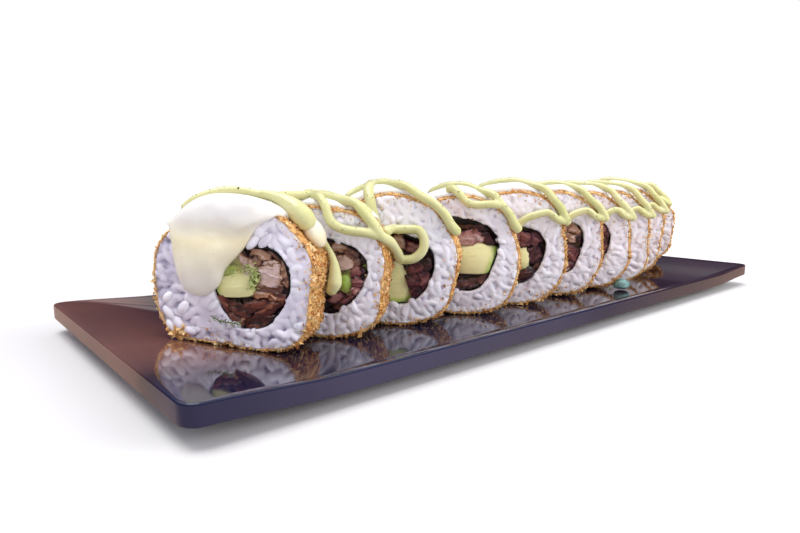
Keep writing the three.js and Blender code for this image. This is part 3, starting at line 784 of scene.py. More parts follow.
def turns_of(direction, roll):
    direction = direction / np.linalg.norm(direction, axis=-1, keepdims=True)
    helper = np.where(np.abs(direction[:, 1:2]) < 0.9, [[0.0, 1.0, 0.0]], [[1.0, 0.0, 0.0]])
    second = np.cross(helper, direction)
    second /= np.linalg.norm(second, axis=-1, keepdims=True)
    third = np.cross(direction, second)
    c, s = np.cos(roll)[:, None], np.sin(roll)[:, None]
    return np.stack([direction, c * second + s * third, c * third - s * second], -1)


# Many small bodies of one kind: each is the unit shape, bent, scaled, turned and set in its place
def scatter(parts, shape, draw, places, sizes, directions, rolls, tones, wobble, soft=True):
    points, faces = shape
    count = len(places)
    bent = points[None] * (1 + wobble * draw.uniform(-1, 1, (count, len(points), 1)))
    local = bent * sizes[:, None, :]
    moved = np.einsum("gij,gpj->gpi", turns_of(directions, rolls), local) + places[:, None, :]
    offsets = (np.arange(count) * len(points))[:, None, None]
    groups = [(group[None] + offsets).reshape(-1, group.shape[1]) for group in faces]
    parts.add(moved.reshape(-1, 3), groups, np.repeat(tones, len(points)), soft)


# Plate: how finely its loops are stepped, and where its foot lies under it
CORNER_SIGNS = [(1, 1), (-1, 1), (-1, -1), (1, -1)]
SIDE_STEPS = 66
END_STEPS = 30
CORNER_STEPS = 8
LEAST_CORNER = 2.0
UNDER_STEPS = 12
ROUND_STEPS = 4
WELL_STEPS = 30
FOOT_FROM_END = 46.0
FOOT_FROM_SIDE = 18.0
UNDERSIDE_TONE = 0.2


def plate_loop(from_end, from_side, height):
    half_length = PLATE_LENGTH / 2 - from_end
    half_width = PLATE_WIDTH / 2 - from_side
    radius = max(CORNER_RADIUS - from_side, LEAST_CORNER)
    centres = [(x * (half_length - radius), y * (half_width - radius)) for x, y in CORNER_SIGNS]
    plan = []
    for n, (x, y) in enumerate(centres):
        next_x, next_y = centres[(n + 1) % len(centres)]
        for i in range(CORNER_STEPS + 1):
            a = math.radians(90 * n + 90 * i / CORNER_STEPS)
            plan.append((x + radius * math.cos(a), y + radius * math.sin(a)))
        steps = END_STEPS if n % 2 else SIDE_STEPS
        end = math.radians(90 * n + 90)
        for i in range(1, steps):
            along_x = lerp(x, next_x, i / steps) + radius * math.cos(end)
            along_y = lerp(y, next_y, i / steps) + radius * math.sin(end)
            plan.append((along_x, along_y))
    return [(x, y, float(height(x, y))) for x, y in plan]


# The plate's own colour is near black; its tone adds painted reflection: navy in the well, plum along its far
# half and warm brown at the near end and corner.
def plate_reflection_tones(x, y, z):
    warm_reflection = smooth((-x - 95) / 60) * smooth((y + 66) / 40)
    above = 0.2 + 0.8 * np.maximum(warm_reflection, 0.5 * smooth((x + 20) / 120))
    around = np.maximum(warm_reflection, 0.65 * smooth((x + 70) / 210) + 0.12 * smooth((-125 - x) / 40))
    under_rim = smooth((tray_top(x, y) - z - 0.3) / 0.4)
    return lerp(above, around, under_rim)


def make_plate():
    loops = []
    for i in range(UNDER_STEPS + 1):
        t = 1 - i / UNDER_STEPS
        from_end = lerp(EDGE_ROUND, FOOT_FROM_END, t)
        from_side = lerp(EDGE_ROUND, FOOT_FROM_SIDE, t)
        thickness = LIP_HEIGHT - (LIP_HEIGHT - PLATE_THICKNESS) * min(1, t * 3)
        loops.append(plate_loop(from_end, from_side, lambda x, y: max(0, tray_top(x, y) - thickness)))
    for i in range(1, ROUND_STEPS + 1):
        a = i / ROUND_STEPS * math.pi / 2
        inset = EDGE_ROUND * (1 - math.sin(a))
        drop = LIP_HEIGHT - EDGE_ROUND * (1 - math.cos(a))
        loops.append(plate_loop(inset, inset, lambda x, y: tray_top(x, y) - drop))
    for i in range(ROUND_STEPS + 1):
        a = i / ROUND_STEPS * math.pi / 2
        inset = EDGE_ROUND * (1 - math.cos(a))
        drop = EDGE_ROUND * (1 - math.sin(a))
        loops.append(plate_loop(inset, inset, lambda x, y: tray_top(x, y) - drop))
    for i in range(1, WELL_STEPS + 1):
        t = i / WELL_STEPS
        loops.append(plate_loop(lerp(EDGE_ROUND, RAMP_LENGTH, t), lerp(EDGE_ROUND, WALL_WIDTH, t), tray_top))
    tones = plate_reflection_tones(*np.array(loops).reshape(-1, 3).T)
    parts = Parts()
    loft(parts, loops, [(0, 0, 0), (0, 0, FLOOR_TOP)], np.append(tones, [UNDERSIDE_TONE, UNDERSIDE_TONE]))
    mesh_piece("dark_plate", parts, "plate", ("plate",))


# Rice. Grain sizes are half lengths and half widths, and "sunk" is how deep a grain's middle lies.
RICE_GRID = (340, 30)  # points round the face and loops across it
FAR_RICE_GRID = (260, 22)
FINE_RICE = 4  # the slices with the finer grid, up to this one
FACE_INSET = 0.55
GRAIN_SPACING = 2.0
GRAIN_HALF_LONG = (2.2, 3.4)
GRAIN_HALF_WIDE = (1.15, 1.55)
GRAIN_SUNK = (-0.6, 0.05)
GRAIN_SLOPE = 0.2
GRAIN_REACH = 5.0
GRAIN_CROWN = 0.95
RICE_MELT = 8.0  # how sharply one grain stands out from the next
HOLE_AREA = 0.2  # the hole's share of a cut face
LOOSE_GRAIN = unit_ball(12, 8)
LOOSE_SPACING = 5.0
LOOSE_SHARE = 0.35
LOOSE_LONG = (2.0, 2.7)
LOOSE_WIDE = (1.3, 1.6)
LOOSE_HIGH = (1.1, 1.4)
LOOSE_SUNK = (0.7, 1.2)
# Loose grains that the photo shows on the first slice's face, a little larger and less sunk
SEEN_GRAINS = np.array([
    (2.4, 0, 12.6), (5.0, 0, 11.6), (8.8, 0, 12.4), (-20.5, 0, -14.5), (-17.5, 0, -17),
    (-21.4, 0, -9.5), (-16.2, 0, -12.4), (-19.4, 0, -19), (-13.5, 0, -19.4),
])
SEEN_SUNK = 0.35
SEEN_GROWTH = 1.15


# Places in a ring of the cut face, no two nearer than the spacing
def face_places(cut, draw, spacing, low, high, tries=9000):
    angle = draw.uniform(0, TAU, tries)
    share = np.sqrt(draw.uniform(HOLE_AREA, 1, tries))
    share = (share - math.sqrt(HOLE_AREA)) / (1 - math.sqrt(HOLE_AREA)) * (high - low) + low
    inner = hole_point(cut, angle, 0, 0)
    edge = outer_point(cut, angle, 0, 0)
    points = inner + share[:, None] * (edge - inner)
    kept = []
    cells = {}
    for i, p in enumerate(points):
        column, row = int(p[0] // spacing), int(p[2] // spacing)
        near = [cells.get((column + dx, row + dz), ()) for dx, dz in product((-1, 0, 1), repeat=2)]
        if all((p[0] - q[0]) ** 2 + (p[2] - q[2]) ** 2 >= spacing**2 for group in near for q in group):
            cells.setdefault((column, row), []).append(p)
            kept.append(i)
    return points[kept]


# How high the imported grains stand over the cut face: grains laid at random that melt together
def grain_field(points, draw, places):
    total = np.full(len(points), math.exp(-RICE_MELT * 0.5))
    for place_x, _, place_z in places:
        near = np.abs(points[:, 0] - place_x) + np.abs(points[:, 2] - place_z) < GRAIN_REACH
        lean = draw.uniform(0, math.pi)
        half_long = draw.uniform(*GRAIN_HALF_LONG)
        half_wide = draw.uniform(*GRAIN_HALF_WIDE)
        sunk = draw.uniform(*GRAIN_SUNK)
        slope = draw.uniform(-GRAIN_SLOPE, GRAIN_SLOPE)
        if not near.any():
            continue
        dx = points[near, 0] - place_x
        dz = points[near, 2] - place_z
        along = dx * math.cos(lean) + dz * math.sin(lean)
        across = dz * math.cos(lean) - dx * math.sin(lean) + 0.05 * along**2
        inside = 1 - (np.abs(along) / half_long) ** 2.4 - (np.abs(across) / half_wide) ** 2.2
        height = sunk + GRAIN_CROWN * np.maximum(inside, 0) ** 0.42 + slope * along
        total[near] += np.where(inside > 0, np.exp(RICE_MELT * height), 0)
    return np.log(total) / RICE_MELT


# How strongly the grains stand out: the rice is smeared smooth in places, as on the first slice's lower left
def grain_relief(cut, points):
    x, _, z = points.T
    relief = 0.9 + 0.5 * rough_noise(points, 9.0, 300 + cut["number"], 2)
    if cut["number"] == 1:
        smear = np.exp(-(((x + 7) / 6.5) ** 2 + ((z + 12.5) / 5) ** 2))
        right = smooth((x - 8) / 8) * smooth((z + 16) / 8)
        left = smooth((-11 - x) / 6)
        relief = relief * (1 - 0.8 * smear) * (1 - 0.45 * right) + 0.3 * left
    if cut["number"] > NEAREST:
        relief = 0.8 * relief
    return np.clip(1.08 * relief, 0.18, 1.25)


# One cut face, as loops from the ragged lip of the hole outwards, with the height of the grains on it
def rice_face(cut, draw, angle, depth, towards, count):
    places = face_places(cut, draw, GRAIN_SPACING, -0.05, 1.02)
    shares = np.linspace(0, 1, count)
    lip = hole_point(cut, angle, 0, depth)
    ragged = np.maximum(rough_noise(lip, 2.6, 80 + cut["number"], 2), -0.1)
    overhang = 0.9 * ragged + 0.35 * rough_noise(lip, 1.1, 90)
    inner = hole_point(cut, angle, overhang - 0.1, depth)
    edge = outer_point(cut, angle, -0.6, depth)
    flat = (inner[None] + shares[:, None, None] * (edge - inner)[None]).reshape(-1, 3)
    height = grain_field(flat, draw, places) * grain_relief(cut, flat)
    rim = np.repeat(smooth(np.minimum(shares / 0.06, (1 - shares) / 0.05)), len(angle))
    raised = 0.15 + (height - 0.15) * (0.25 + 0.75 * rim)
    flat[:, 1] += -towards * raised + towards * 0.45 * (1 - rim)
    return flat.reshape(count, -1, 3), height.reshape(count, -1)


# Rice tone is painted shade and light: darker between its grains and pale on top of them. On the first slice
# painted shade darkens it towards its left and low down; on the other slices the tone is raised, as painted
# light for the light that the slices around them keep off.
def rice_painted_light_tones(cut, loops, height):
    tones = 0.5 + 0.55 * height + 0.25 * rough_noise(loops.reshape(-1, 3), 3.0, 7).reshape(height.shape)
    if cut["number"] == 1:
        tones = tones - 0.6 * smooth((-10 - loops[..., 0]) / 11) - 0.35 * smooth((-9 - loops[..., 2]) / 9)
    else:
        tones = tones + 0.28
    return np.clip(tones, 0, 1).reshape(-1)


def add_loose_grains(parts, cut, draw, front_side):
    points = face_places(cut, draw, LOOSE_SPACING, 0.08, 0.9)
    points = points[draw.uniform(0, 1, len(points)) < LOOSE_SHARE]
    seen = SEEN_GRAINS if cut["number"] == 1 and front_side else SEEN_GRAINS[:0]
    points = np.concatenate([points, seen])
    count = len(points)
    lean = draw.uniform(0, TAU, count)
    directions = np.stack([np.cos(lean), draw.normal(0, 0.12, count), np.sin(lean)], -1)
    sizes = np.stack([draw.uniform(*size, count) for size in (LOOSE_LONG, LOOSE_WIDE, LOOSE_HIGH)], -1)
    sunk = draw.uniform(*LOOSE_SUNK, count)
    sunk[count - len(seen) :] = SEEN_SUNK
    sizes[count - len(seen) :] *= SEEN_GROWTH
    points[:, 1] = sunk if front_side else THICKNESS - sunk
    rolls = draw.uniform(-0.3, 0.3, count)
    tones = draw.uniform(0.5, 1, count)
    scatter(parts, LOOSE_GRAIN, draw, points, sizes, directions, rolls, tones, wobble=0.03)
    # What would leave the rice's outline is pressed back into it.
    own = parts.points[-1]
    bearing = np.arctan2(own[:, 2], own[:, 0])
    own[:, [0, 2]] *= np.minimum(1, (outer(cut, bearing) - 0.6) / np.hypot(own[:, 0], own[:, 2]))[:, None]
    parts.points[-1] = settled(cut, own)


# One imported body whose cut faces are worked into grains, with some loose grains on them
def make_rice(cut):
    draw = np.random.default_rng(cut["number"])
    parts = Parts()
    sectors, steps = RICE_GRID if cut["number"] <= FINE_RICE else FAR_RICE_GRID
    angle = round_turn(sectors)
    front, front_height = rice_face(cut, draw, angle, FACE_INSET, 1, steps)
    back, back_height = rice_face(cut, draw, angle, THICKNESS - FACE_INSET, -1, FAR_RICE_GRID[1])
    side = [outer_point(cut, angle, -0.75, depth) for depth in (3, 7, 12, 16)]
    inner = [hole_point(cut, angle, -0.15, depth) for depth in (15, 10, 4)]
    loops = np.concatenate([front, side, back[::-1], inner])
    plain = [np.zeros((len(side), sectors)), np.zeros((len(inner), sectors))]
    height = np.concatenate([front_height, plain[0], back_height[::-1], plain[1]])
    stood = settled(cut, loops.reshape(-1, 3)).reshape(loops.shape)
    loft(parts, stood, tone=rice_painted_light_tones(cut, loops, height))
    for front_side in (True, False):
        add_loose_grains(parts, cut, draw, front_side)
    mesh_piece("rice_grains_" + cut["label"], parts, "rice", ("rice_" + cut["label"],))


# Crust. A crumb is a four-sided shard.
CRUMB = (
    np.array([(1, 1, 1), (-1, -1, 1), (-1, 1, -1), (1, -1, -1)], float),
    [np.array([(0, 2, 1), (0, 1, 3), (0, 3, 2), (1, 2, 3)])],
)
CRUST_SECTORS = 380
CRUST_LOOPS = 30
CRUST_START = 0.6
# The band's edge over the cut face: outset from the slice's outline, and depth
CRUST_EDGE = [(-0.95, 1.0), (-0.75, 0.35), (-0.45, 0.05), (-0.2, 0.15)]
SIDE_CRUMBS = 4600
FACE_CRUMBS = 700
# Crumbs heaped at the first slice's foot
HEAPED_CRUMBS = 200
HEAP_PLACE = (-16.8, -20.2)
HEAP_SPREAD = (1.3, 0.9)


# The first slice's crust is paler and finer on its left side.
def left_side(cut, angle):
    return smooth((-0.2 - np.cos(angle)) / 0.5) * (cut["number"] == 1)


def crust_band(parts, cut):
    angle = round_turn(CRUST_SECTORS)
    along = np.linspace(CRUST_START, THICKNESS - CRUST_START, CRUST_LOOPS)
    profile = CRUST_EDGE + [(0.0, depth) for depth in along]
    profile += [(outset, THICKNESS - depth) for outset, depth in reversed(CRUST_EDGE)]
    seed = 40 * cut["number"]
    paler = 0.35 * left_side(cut, angle) + (0.12 if cut["number"] > NEAREST else 0.0)
    loops = []
    tones = []
    for n, (outset, depth) in enumerate(profile):
        flat = outer_point(cut, angle, outset, depth)
        ragged = rough_noise(outer_point(cut, angle, 0, depth), 2.4, seed)
        coarse = 0.5 * (0.5 - cell_noise(flat, 1.5, seed))
        fine = 0.4 * (0.45 - cell_noise(flat, 0.75, seed + 9))
        hidden = n in (0, len(profile) - 1)
        crumbs = 0.0 if hidden else coarse + fine + 0.3 * ragged
        if outset < -0.1:
            points = outer_point(cut, angle, outset + 0.7 * crumbs - 0.5 * np.abs(ragged), depth)
            points[:, 1] += (-0.5 if depth < THICKNESS / 2 else 0.5) * crumbs
        else:
            points = outer_point(cut, angle, outset + crumbs, depth)
        loops.append(points)
        # Tone is partly random and partly painted shade: darker where the crumbs sink, paler where they stand
        # out
        tones.append(0.5 + 0.5 * rough_noise(flat, 2.2, seed + 3) + 0.5 * crumbs + paler)
    loops = settled(cut, np.array(loops).reshape(-1, 3)).reshape(len(profile), CRUST_SECTORS, 3)
    loft(parts, loops, tone=np.concatenate(tones))


def scatter_crumbs(parts, cut, draw, points, sizes, tones, finer=0.0):
    count = len(points)
    sizes = sizes * draw.uniform(0.5, 1.4, (count, 3))
    sizes = sizes * (1 - 0.35 * np.reshape(finer, (-1, 1)))
    leans = draw.normal(0, 1, (count, 3))
    rolls = draw.uniform(0, TAU, count)
    tones = draw.uniform(*tones, count) + 0.3 * finer
    scatter(parts, CRUMB, draw, points, sizes, leans, rolls, tones, wobble=0.4, soft=False)
    parts.points[-1] = settled(cut, parts.points[-1])


# A rough band of crumbs round the rice. Some crumbs lie on the cut faces, near the edge.
def make_crust(cut):
    draw = np.random.default_rng(500 + cut["number"])
    parts = Parts()
    crust_band(parts, cut)
    turn = draw.uniform(0, TAU, SIDE_CRUMBS)
    depth = draw.uniform(-0.05, THICKNESS + 0.05, SIDE_CRUMBS)
    points = outer_point(cut, turn, draw.uniform(-0.15, 0.3, SIDE_CRUMBS), depth)
    sizes = 0.18 + draw.exponential(0.13, (SIDE_CRUMBS, 1))
    scatter_crumbs(parts, cut, draw, points, sizes, (-0.1, 1.1), left_side(cut, turn))
    turn = draw.uniform(0, TAU, FACE_CRUMBS)
    front_side = draw.uniform(0, 1, FACE_CRUMBS) < 0.5
    drifts = 1 + 2 * np.maximum(0, np.sin(3 * turn + cut["number"])) ** 4
    inwards = draw.exponential(0.7, FACE_CRUMBS) * drifts
    points = outer_point(cut, turn, -inwards - 0.5, np.where(front_side, -0.1, THICKNESS + 0.1))
    scatter_crumbs(parts, cut, draw, points, draw.uniform(0.12, 0.36, (FACE_CRUMBS, 1)), (0, 1))
    if cut["number"] == 1:
        x = draw.normal(HEAP_PLACE[0], HEAP_SPREAD[0], HEAPED_CRUMBS)
        y = draw.uniform(-0.7, 0.3, HEAPED_CRUMBS)
        z = draw.normal(HEAP_PLACE[1], HEAP_SPREAD[1], HEAPED_CRUMBS)
        sizes = draw.uniform(0.25, 0.65, (HEAPED_CRUMBS, 1))
        scatter_crumbs(parts, cut, draw, np.stack([x, y, z], -1), sizes, (0.2, 1))
    mesh_piece("crumb_crust_" + cut["label"], parts, "crust")


# Seaweed. The band shows most in one direction; elsewhere rice and fillings close over it.
NORI_SECTORS = 160
FIRST_NORI_SECTORS = 280
NORI_RADIUS = 12
NORI_SHOWS = math.radians(62)
# The band's section: share of its thickness from the hole's edge inwards, and depth
NORI_SECTION = [
    (0, 1.6), (0, 0.4), (0.2, 0.0), (0.45, 0.1), (0.7, -0.1), (1.0, 0.3), (1.0, 1.6), (1.0, 6), (1.0, 13),
    (1.0, 17.4), (1.0, 18.7), (0.6, 19.1), (0.2, 19), (0, 18.6), (0, 17.2), (0, 12), (0, 6),
]


# A thin ragged band that lines the hole, folded thick where the slice's "fold" says
def make_nori(cut):
    angle = round_turn(FIRST_NORI_SECTORS if cut["number"] == 1 else NORI_SECTORS)
    circle = np.stack([np.cos(angle) * NORI_RADIUS, 0 * angle, np.sin(angle) * NORI_RADIUS], -1)
    seed = 70 + cut["number"]
    fold = swelling(angle, *cut.get("fold", (0, 1, 0)))
    shown = smooth(0.45 + 0.9 * np.cos(angle - NORI_SHOWS))
    reach = 0.5 * rough_noise(circle, 3.0, seed) + 0.3 * rough_noise(circle, 1.0, seed + 5) - 0.1
    reach = reach - 1.7 * (1 - shown)
    thick = 0.16 + 0.8 * shown * np.maximum(rough_noise(circle, 5.0, seed + 2), 0) + fold
    loops = []
    for share, depth in NORI_SECTION:
        ripple = 0.25 * rough_noise(circle + np.array([0, depth, 0]), 2.2, seed + 3)
        ripple = ripple + 0.16 * rough_noise(circle + np.array([0, 2 * depth, 0]), 0.8, seed + 4)
        points = hole_point(cut, angle, share * thick + ripple, depth)
        if min(depth, THICKNESS - depth) < 0.8:
            points[:, 1] += reach if depth > THICKNESS / 2 else -reach
        loops.append(points)
    parts = Parts()
    loft(parts, to_plate(cut, np.array(loops)), tone=0.5)
    mesh_piece("seaweed_" + cut["label"], parts, "nori", ("nori_" + cut["label"],))


# Fillings. A chunk is its middle, half sizes and turn in the cut face, its tone from dark to pale, and its
# level. These are the ones that show on the nearest cut faces; the others are set at random.
SEEN_CHUNKS = {
    ("pale_meat", 1): [
        (7.9, 7.9, 3.3, 1.6, -6, 0.62, 0.7),
        (12.6, 8.8, 2.6, 1.3, -42, 0.36, 0.4),
        (11.0, 2.0, 3.4, 3.3, 2, 0.95, 0.9),
        (10.6, 5.6, 2.6, 0.8, 12, 0.72, 0.4),
        (15.8, 3.4, 1.3, 4.4, 10, 0.4, 0.4),
        (1.0, 4.9, 3.6, 2.3, -40, 0.85, 0.5),
        (4.3, 2.6, 2.2, 2.4, -60, 0.8, 0.3),
        (6.4, 5.2, 1.0, 1.5, 30, 0.3, 0.2),
    ],
    ("meat", 1): [
        (9.2, -4.4, 3.0, 1.5, 10, 0.98, 0.9),
        (12.6, -5.6, 1.8, 1.2, -20, 0.78, 0.6),
        (-3.6, -9.4, 3.8, 2.3, -35, 0.44, 0.5),
        (1.4, -10.2, 4.8, 2.0, -14, 0.24, 0.3),
        (0.8, -13.4, 3.6, 1.6, -24, 0.3, 0.0),
        (6.8, -9.0, 4.2, 1.9, 16, 0.34, 0.6),
        (11.6, -9.0, 4.0, 1.8, 32, 0.52, 0.7),
        (15.8, -4.6, 1.6, 3.4, 4, 0.44, 0.3),
        (8.6, -13.4, 5.2, 2.2, 10, 0.26, 0.2),
        (3.4, -13.0, 1.4, 0.8, 20, 0.8, 0.1),
    ],
    ("avocado", 1): [
        (0.6, -3.4, 5.8, 4.1, 8, 0.12, 0.9),
        (-3.2, 1.2, 3.0, 1.5, 20, 0.75, 0.3),
    ],
    ("pale_meat", 2): [
        (12.0, 7.0, 2.4, 2.0, -40, 0.2, 0.2),
        (8.8, 3.0, 2.9, 2.7, 10, 0.86, 0.8),
        (13.6, 2.2, 1.4, 3.0, 5, 0.3, 0.1),
        (7.6, 8.4, 2.8, 1.5, 6, 0.5, 0.4),
        (4.2, 3.4, 2.2, 2.8, 0, 0.75, 0.1),
    ],
    ("avocado", 2): [
        (9.4, -3.8, 2.2, 3.0, 0, 0.85, 0.5),
        (4.6, -4.0, 2.6, 3.0, 20, 0.3, 0.2),
    ],
    ("meat", 2): [
        (5.6, -9.0, 2.8, 1.5, 20, 0.5, 0.4),
        (9.2, -9.8, 2.4, 1.4, 34, 0.34, 0.3),
        (11.6, -7.0, 1.4, 2.6, 20, 0.78, 0.4),
        (7.4, -11.8, 2.6, 1.3, 14, 0.24, 0.1),
    ],
    ("meat", 3): [
        (9.6, -3.0, 3.6, 2.2, 20, 0.34, 0.6),
        (13.6, -1.6, 2.6, 2.4, -30, 0.2, 0.3),
        (9.0, -8.0, 3.4, 2.6, 10, 0.28, 0.5),
        (13.2, -7.6, 2.4, 3.4, 15, 0.4, 0.4),
        (8.4, -13.4, 3.6, 2.2, 24, 0.22, 0.2),
        (9.0, 4.4, 3.0, 2.2, -20, 0.5, 0.3),
    ],
    ("pale_meat", 3): [
        (-2.6, 6.0, 3.6, 3.0, 10, 0.5, 0.4),
        (3.4, 6.8, 2.8, 2.6, -20, 0.66, 0.5),
        (-1.0, 1.4, 4.4, 2.0, 0, 0.3, 0.2),
    ],
    ("meat", 4): [
        (3.6, 7.0, 4.4, 2.8, 6, 0.97, 0.9),
        (8.2, 8.0, 2.6, 2.2, -40, 0.9, 0.5),
        (-4.6, 8.0, 3.4, 3.0, 20, 0.5, 0.3),
        (4.0, 12.6, 6.0, 1.6, -4, 0.16, 0.2),
        (12.4, 7.0, 1.8, 3.0, 30, 0.2, 0.2),
    ],
    ("avocado", 4): [
        (6.6, -2.2, 8.2, 6.2, 8, 0.0, 0.9),
        (-6.0, -2.0, 4.4, 5.0, 0, 0.5, 0.2),
    ],
    ("pale_meat", 4): [
        (4.0, -11.6, 6.4, 1.8, 4, 0.12, 0.4),
        (11.0, -9.6, 3.2, 1.6, 30, 0.2, 0.3),
        (-4.4, -10.4, 4.0, 2.0, -20, 0.3, 0.2),
    ],
    ("avocado", 5): [
        (5.6, -4.4, 3.4, 4.6, 0, 0.1, 0.9),
        (1.0, -4.0, 4.0, 5.0, 0, 0.5, 0.3),
    ],
    ("meat", 5): [
        (11.4, -3.4, 3.2, 3.6, 30, 0.3, 0.6),
        (13.6, -8.0, 2.4, 2.6, 20, 0.2, 0.3),
        (11.0, 3.6, 2.8, 2.6, -30, 0.42, 0.3),
        (10.4, -12.0, 3.0, 2.0, 20, 0.16, 0.2),
    ],
}
# Points round a filling and loops across its face
FILLING_GRIDS = {1: (250, 42), 2: (150, 26), 3: (150, 26)}
PLAIN_GRID = (90, 16)
BACK_LOOPS = 9
FILLING_SUNK = 1.3
# Meat is torn and flat; avocado is soft and domed. Both grow past their cut, so that no slit is left.
MEAT_FORM = dict(torn=1.0, dome=0.25, rounding=0.8, grown=1.8)
AVOCADO_FORM = dict(torn=0.25, dome=1.1, rounding=1.8, grown=0.7)
GREEN_RIM = 3.4
# Meat that has slid over a slice's avocado: its outline and chunks
SCRAPS = {
    "meat_scrap_02": dict(
        slice=2,
        outline=[(11.8, 2.2), (16.2, 1.2), (16.0, -4.4), (13.6, -7.6), (11.6, -6.6)],
        chunks=[
            (13.2, 0.6, 1.8, 1.6, 20, 0.72, 0.3),
            (13.8, -3.2, 1.7, 2.0, -10, 0.45, 0.6),
            (13.0, -6.2, 1.6, 1.4, 30, 0.8, 0.4),
        ],
    ),
    "meat_scrap_05_above": dict(
        slice=5,
        outline=[(0.6, 1.2), (0.8, 7.0), (5.0, 8.4), (9.4, 6.0), (9.8, 1.4), (5.4, 0.2)],
        chunks=[
            (6.4, 4.4, 3.0, 2.4, -10, 0.62, 0.4),
            (3.0, 5.0, 2.4, 2.6, 20, 0.4, 0.2),
            (7.0, 1.6, 3.2, 1.4, 6, 0.3, 0.3),
        ],
    ),
    "meat_scrap_05_below": dict(
        slice=5,
        outline=[(1.4, -9.6), (5.6, -9.2), (10.4, -8.6), (10.8, -12.0), (6.0, -14.6), (2.4, -13.4)],
        chunks=[(6.0, -12.0, 4.4, 2.2, 10, 0.2, 0.3)],
    ),
}
SCRAP_GRID = (90, 20)
SCRAP_FORM = dict(rounding=0.8, grown=0.8)
SCRAP_SUNK = 0.2
SCRAP_DEPTH = 3.0


# The part of an outline where a x + b z is below a limit
def clip(outline, a, b, limit):
    kept = []
    for n, p in enumerate(outline):
        q = outline[(n + 1) % len(outline)]
        side_p = a * p[0] + b * p[2] - limit
        side_q = a * q[0] + b * q[2] - limit
        if side_p <= 0:
            kept.append(p)
        if side_p * side_q < 0:
            kept.append(p + (q - p) * side_p / (side_p - side_q))
    return np.array(kept)


def filling_outlines(cut):
    inside = hole_point(cut, round_turn(60), 0.5, 0)
    meat_turn, meat_start, avocado_turn, avocado_start = cut["fill"]
    hole_x, hole_z = cut["hole"][:2]

    def beyond(outline, turn, start, sign):
        a = math.cos(math.radians(turn))
        b = math.sin(math.radians(turn))
        limit = start + a * hole_x + b * hole_z
        return clip(outline, -sign * a, -sign * b, -sign * limit - 0.05)

    rest = beyond(inside, meat_turn, meat_start, -1)
    found = dict(meat=beyond(inside, meat_turn, meat_start, 1))
    if cut["pale"]:
        found["avocado"] = beyond(rest, avocado_turn, avocado_start, 1)
        found["pale_meat"] = beyond(rest, avocado_turn, avocado_start, -1)
    else:
        found["avocado"] = rest
    return found


# An outline with evenly spaced points and rounded corners
def even_outline(outline, count, rounding):
    closed = np.concatenate([outline, outline[:1]])
    lengths = np.concatenate([[0], np.cumsum(np.linalg.norm(np.diff(closed, axis=0), axis=1))])
    spots = np.linspace(0, lengths[-1], count, endpoint=False)
    even = np.stack([np.interp(spots, lengths, closed[:, k]) for k in range(3)], -1)
    samples = rounding / (lengths[-1] / count)
    for _ in range(int(2 * samples**2)):
        even = 0.5 * even + 0.25 * np.roll(even, 1, 0) + 0.25 * np.roll(even, -1, 0)
    return even


# The face of a filling: flat tilted chunks with fibres along them, ragged borders and sunken gaps between
# them, darkened as painted shade
def torn_surface(points, chunks, seed, torn, dome):
    spots = points.copy()
    spots[:, 1] = seed * 7.0
    wander = [rough_noise(spots, 1.9, seed + k, 4) for k in (0, 1)]
    spots[:, 0] += 1.2 * torn * wander[0]
    spots[:, 2] += 1.2 * torn * wander[1]
    power = 3 if torn > 0.5 else 2.2
    nearest = np.full(len(points), 9.0)
    second = np.full(len(points), 9.0)
    height = np.zeros(len(points))
    tone = np.zeros(len(points))
    for n, (x, z, half_x, half_z, turn, shade, level) in enumerate(chunks):
        a = math.radians(turn)
        along = (spots[:, 0] - x) * math.cos(a) + (spots[:, 2] - z) * math.sin(a)
        across = (spots[:, 2] - z) * math.cos(a) - (spots[:, 0] - x) * math.sin(a)
        distance = (np.abs(along / half_x) ** power + np.abs(across / half_z) ** power) ** (1 / power)
        threads = rough_noise(np.stack([0.09 * along + 5 * n, spots[:, 1], across], -1), 0.85, seed + n, 3)
        flakes = 0.5 - cell_noise(np.stack([0.5 * along + 5 * n, spots[:, 1], across], -1), 1.6, seed + n)
        lean = 0.2 * math.sin(4.7 * n + seed) * torn
        own = level + dome * (1 - np.minimum(distance, 1.5) ** 2) + lean * along - 0.7 * lean * across
        own = own + torn * (0.4 * threads + 0.14 * flakes)
        closer = distance < nearest
        second = np.where(closer, nearest, np.minimum(second, distance))
        nearest = np.where(closer, distance, nearest)
        height = np.where(closer, own, height)
        lines = np.maximum(0, 0.45 - np.abs(threads)) * (shade > 0.5)
        tone = np.where(closer, shade + torn * (0.34 * threads + 0.15 * flakes - 0.5 * lines), tone)
    gap = 1 - smooth((second - nearest) / 0.13)
    beyond = smooth((nearest - 1.0) / 0.3)
    browned = smooth((nearest - 0.7) / 0.35) * np.clip(tone, 0, 0.6)
    height = height - torn * 0.5 * gap - 0.9 * beyond
    # Painted shade: the tone is darkened in the gaps between chunks and beyond them; the browned rims are the
    # meat's own colour
    return height, tone - torn * (0.35 * browned + 0.15 * gap) - 0.3 * beyond


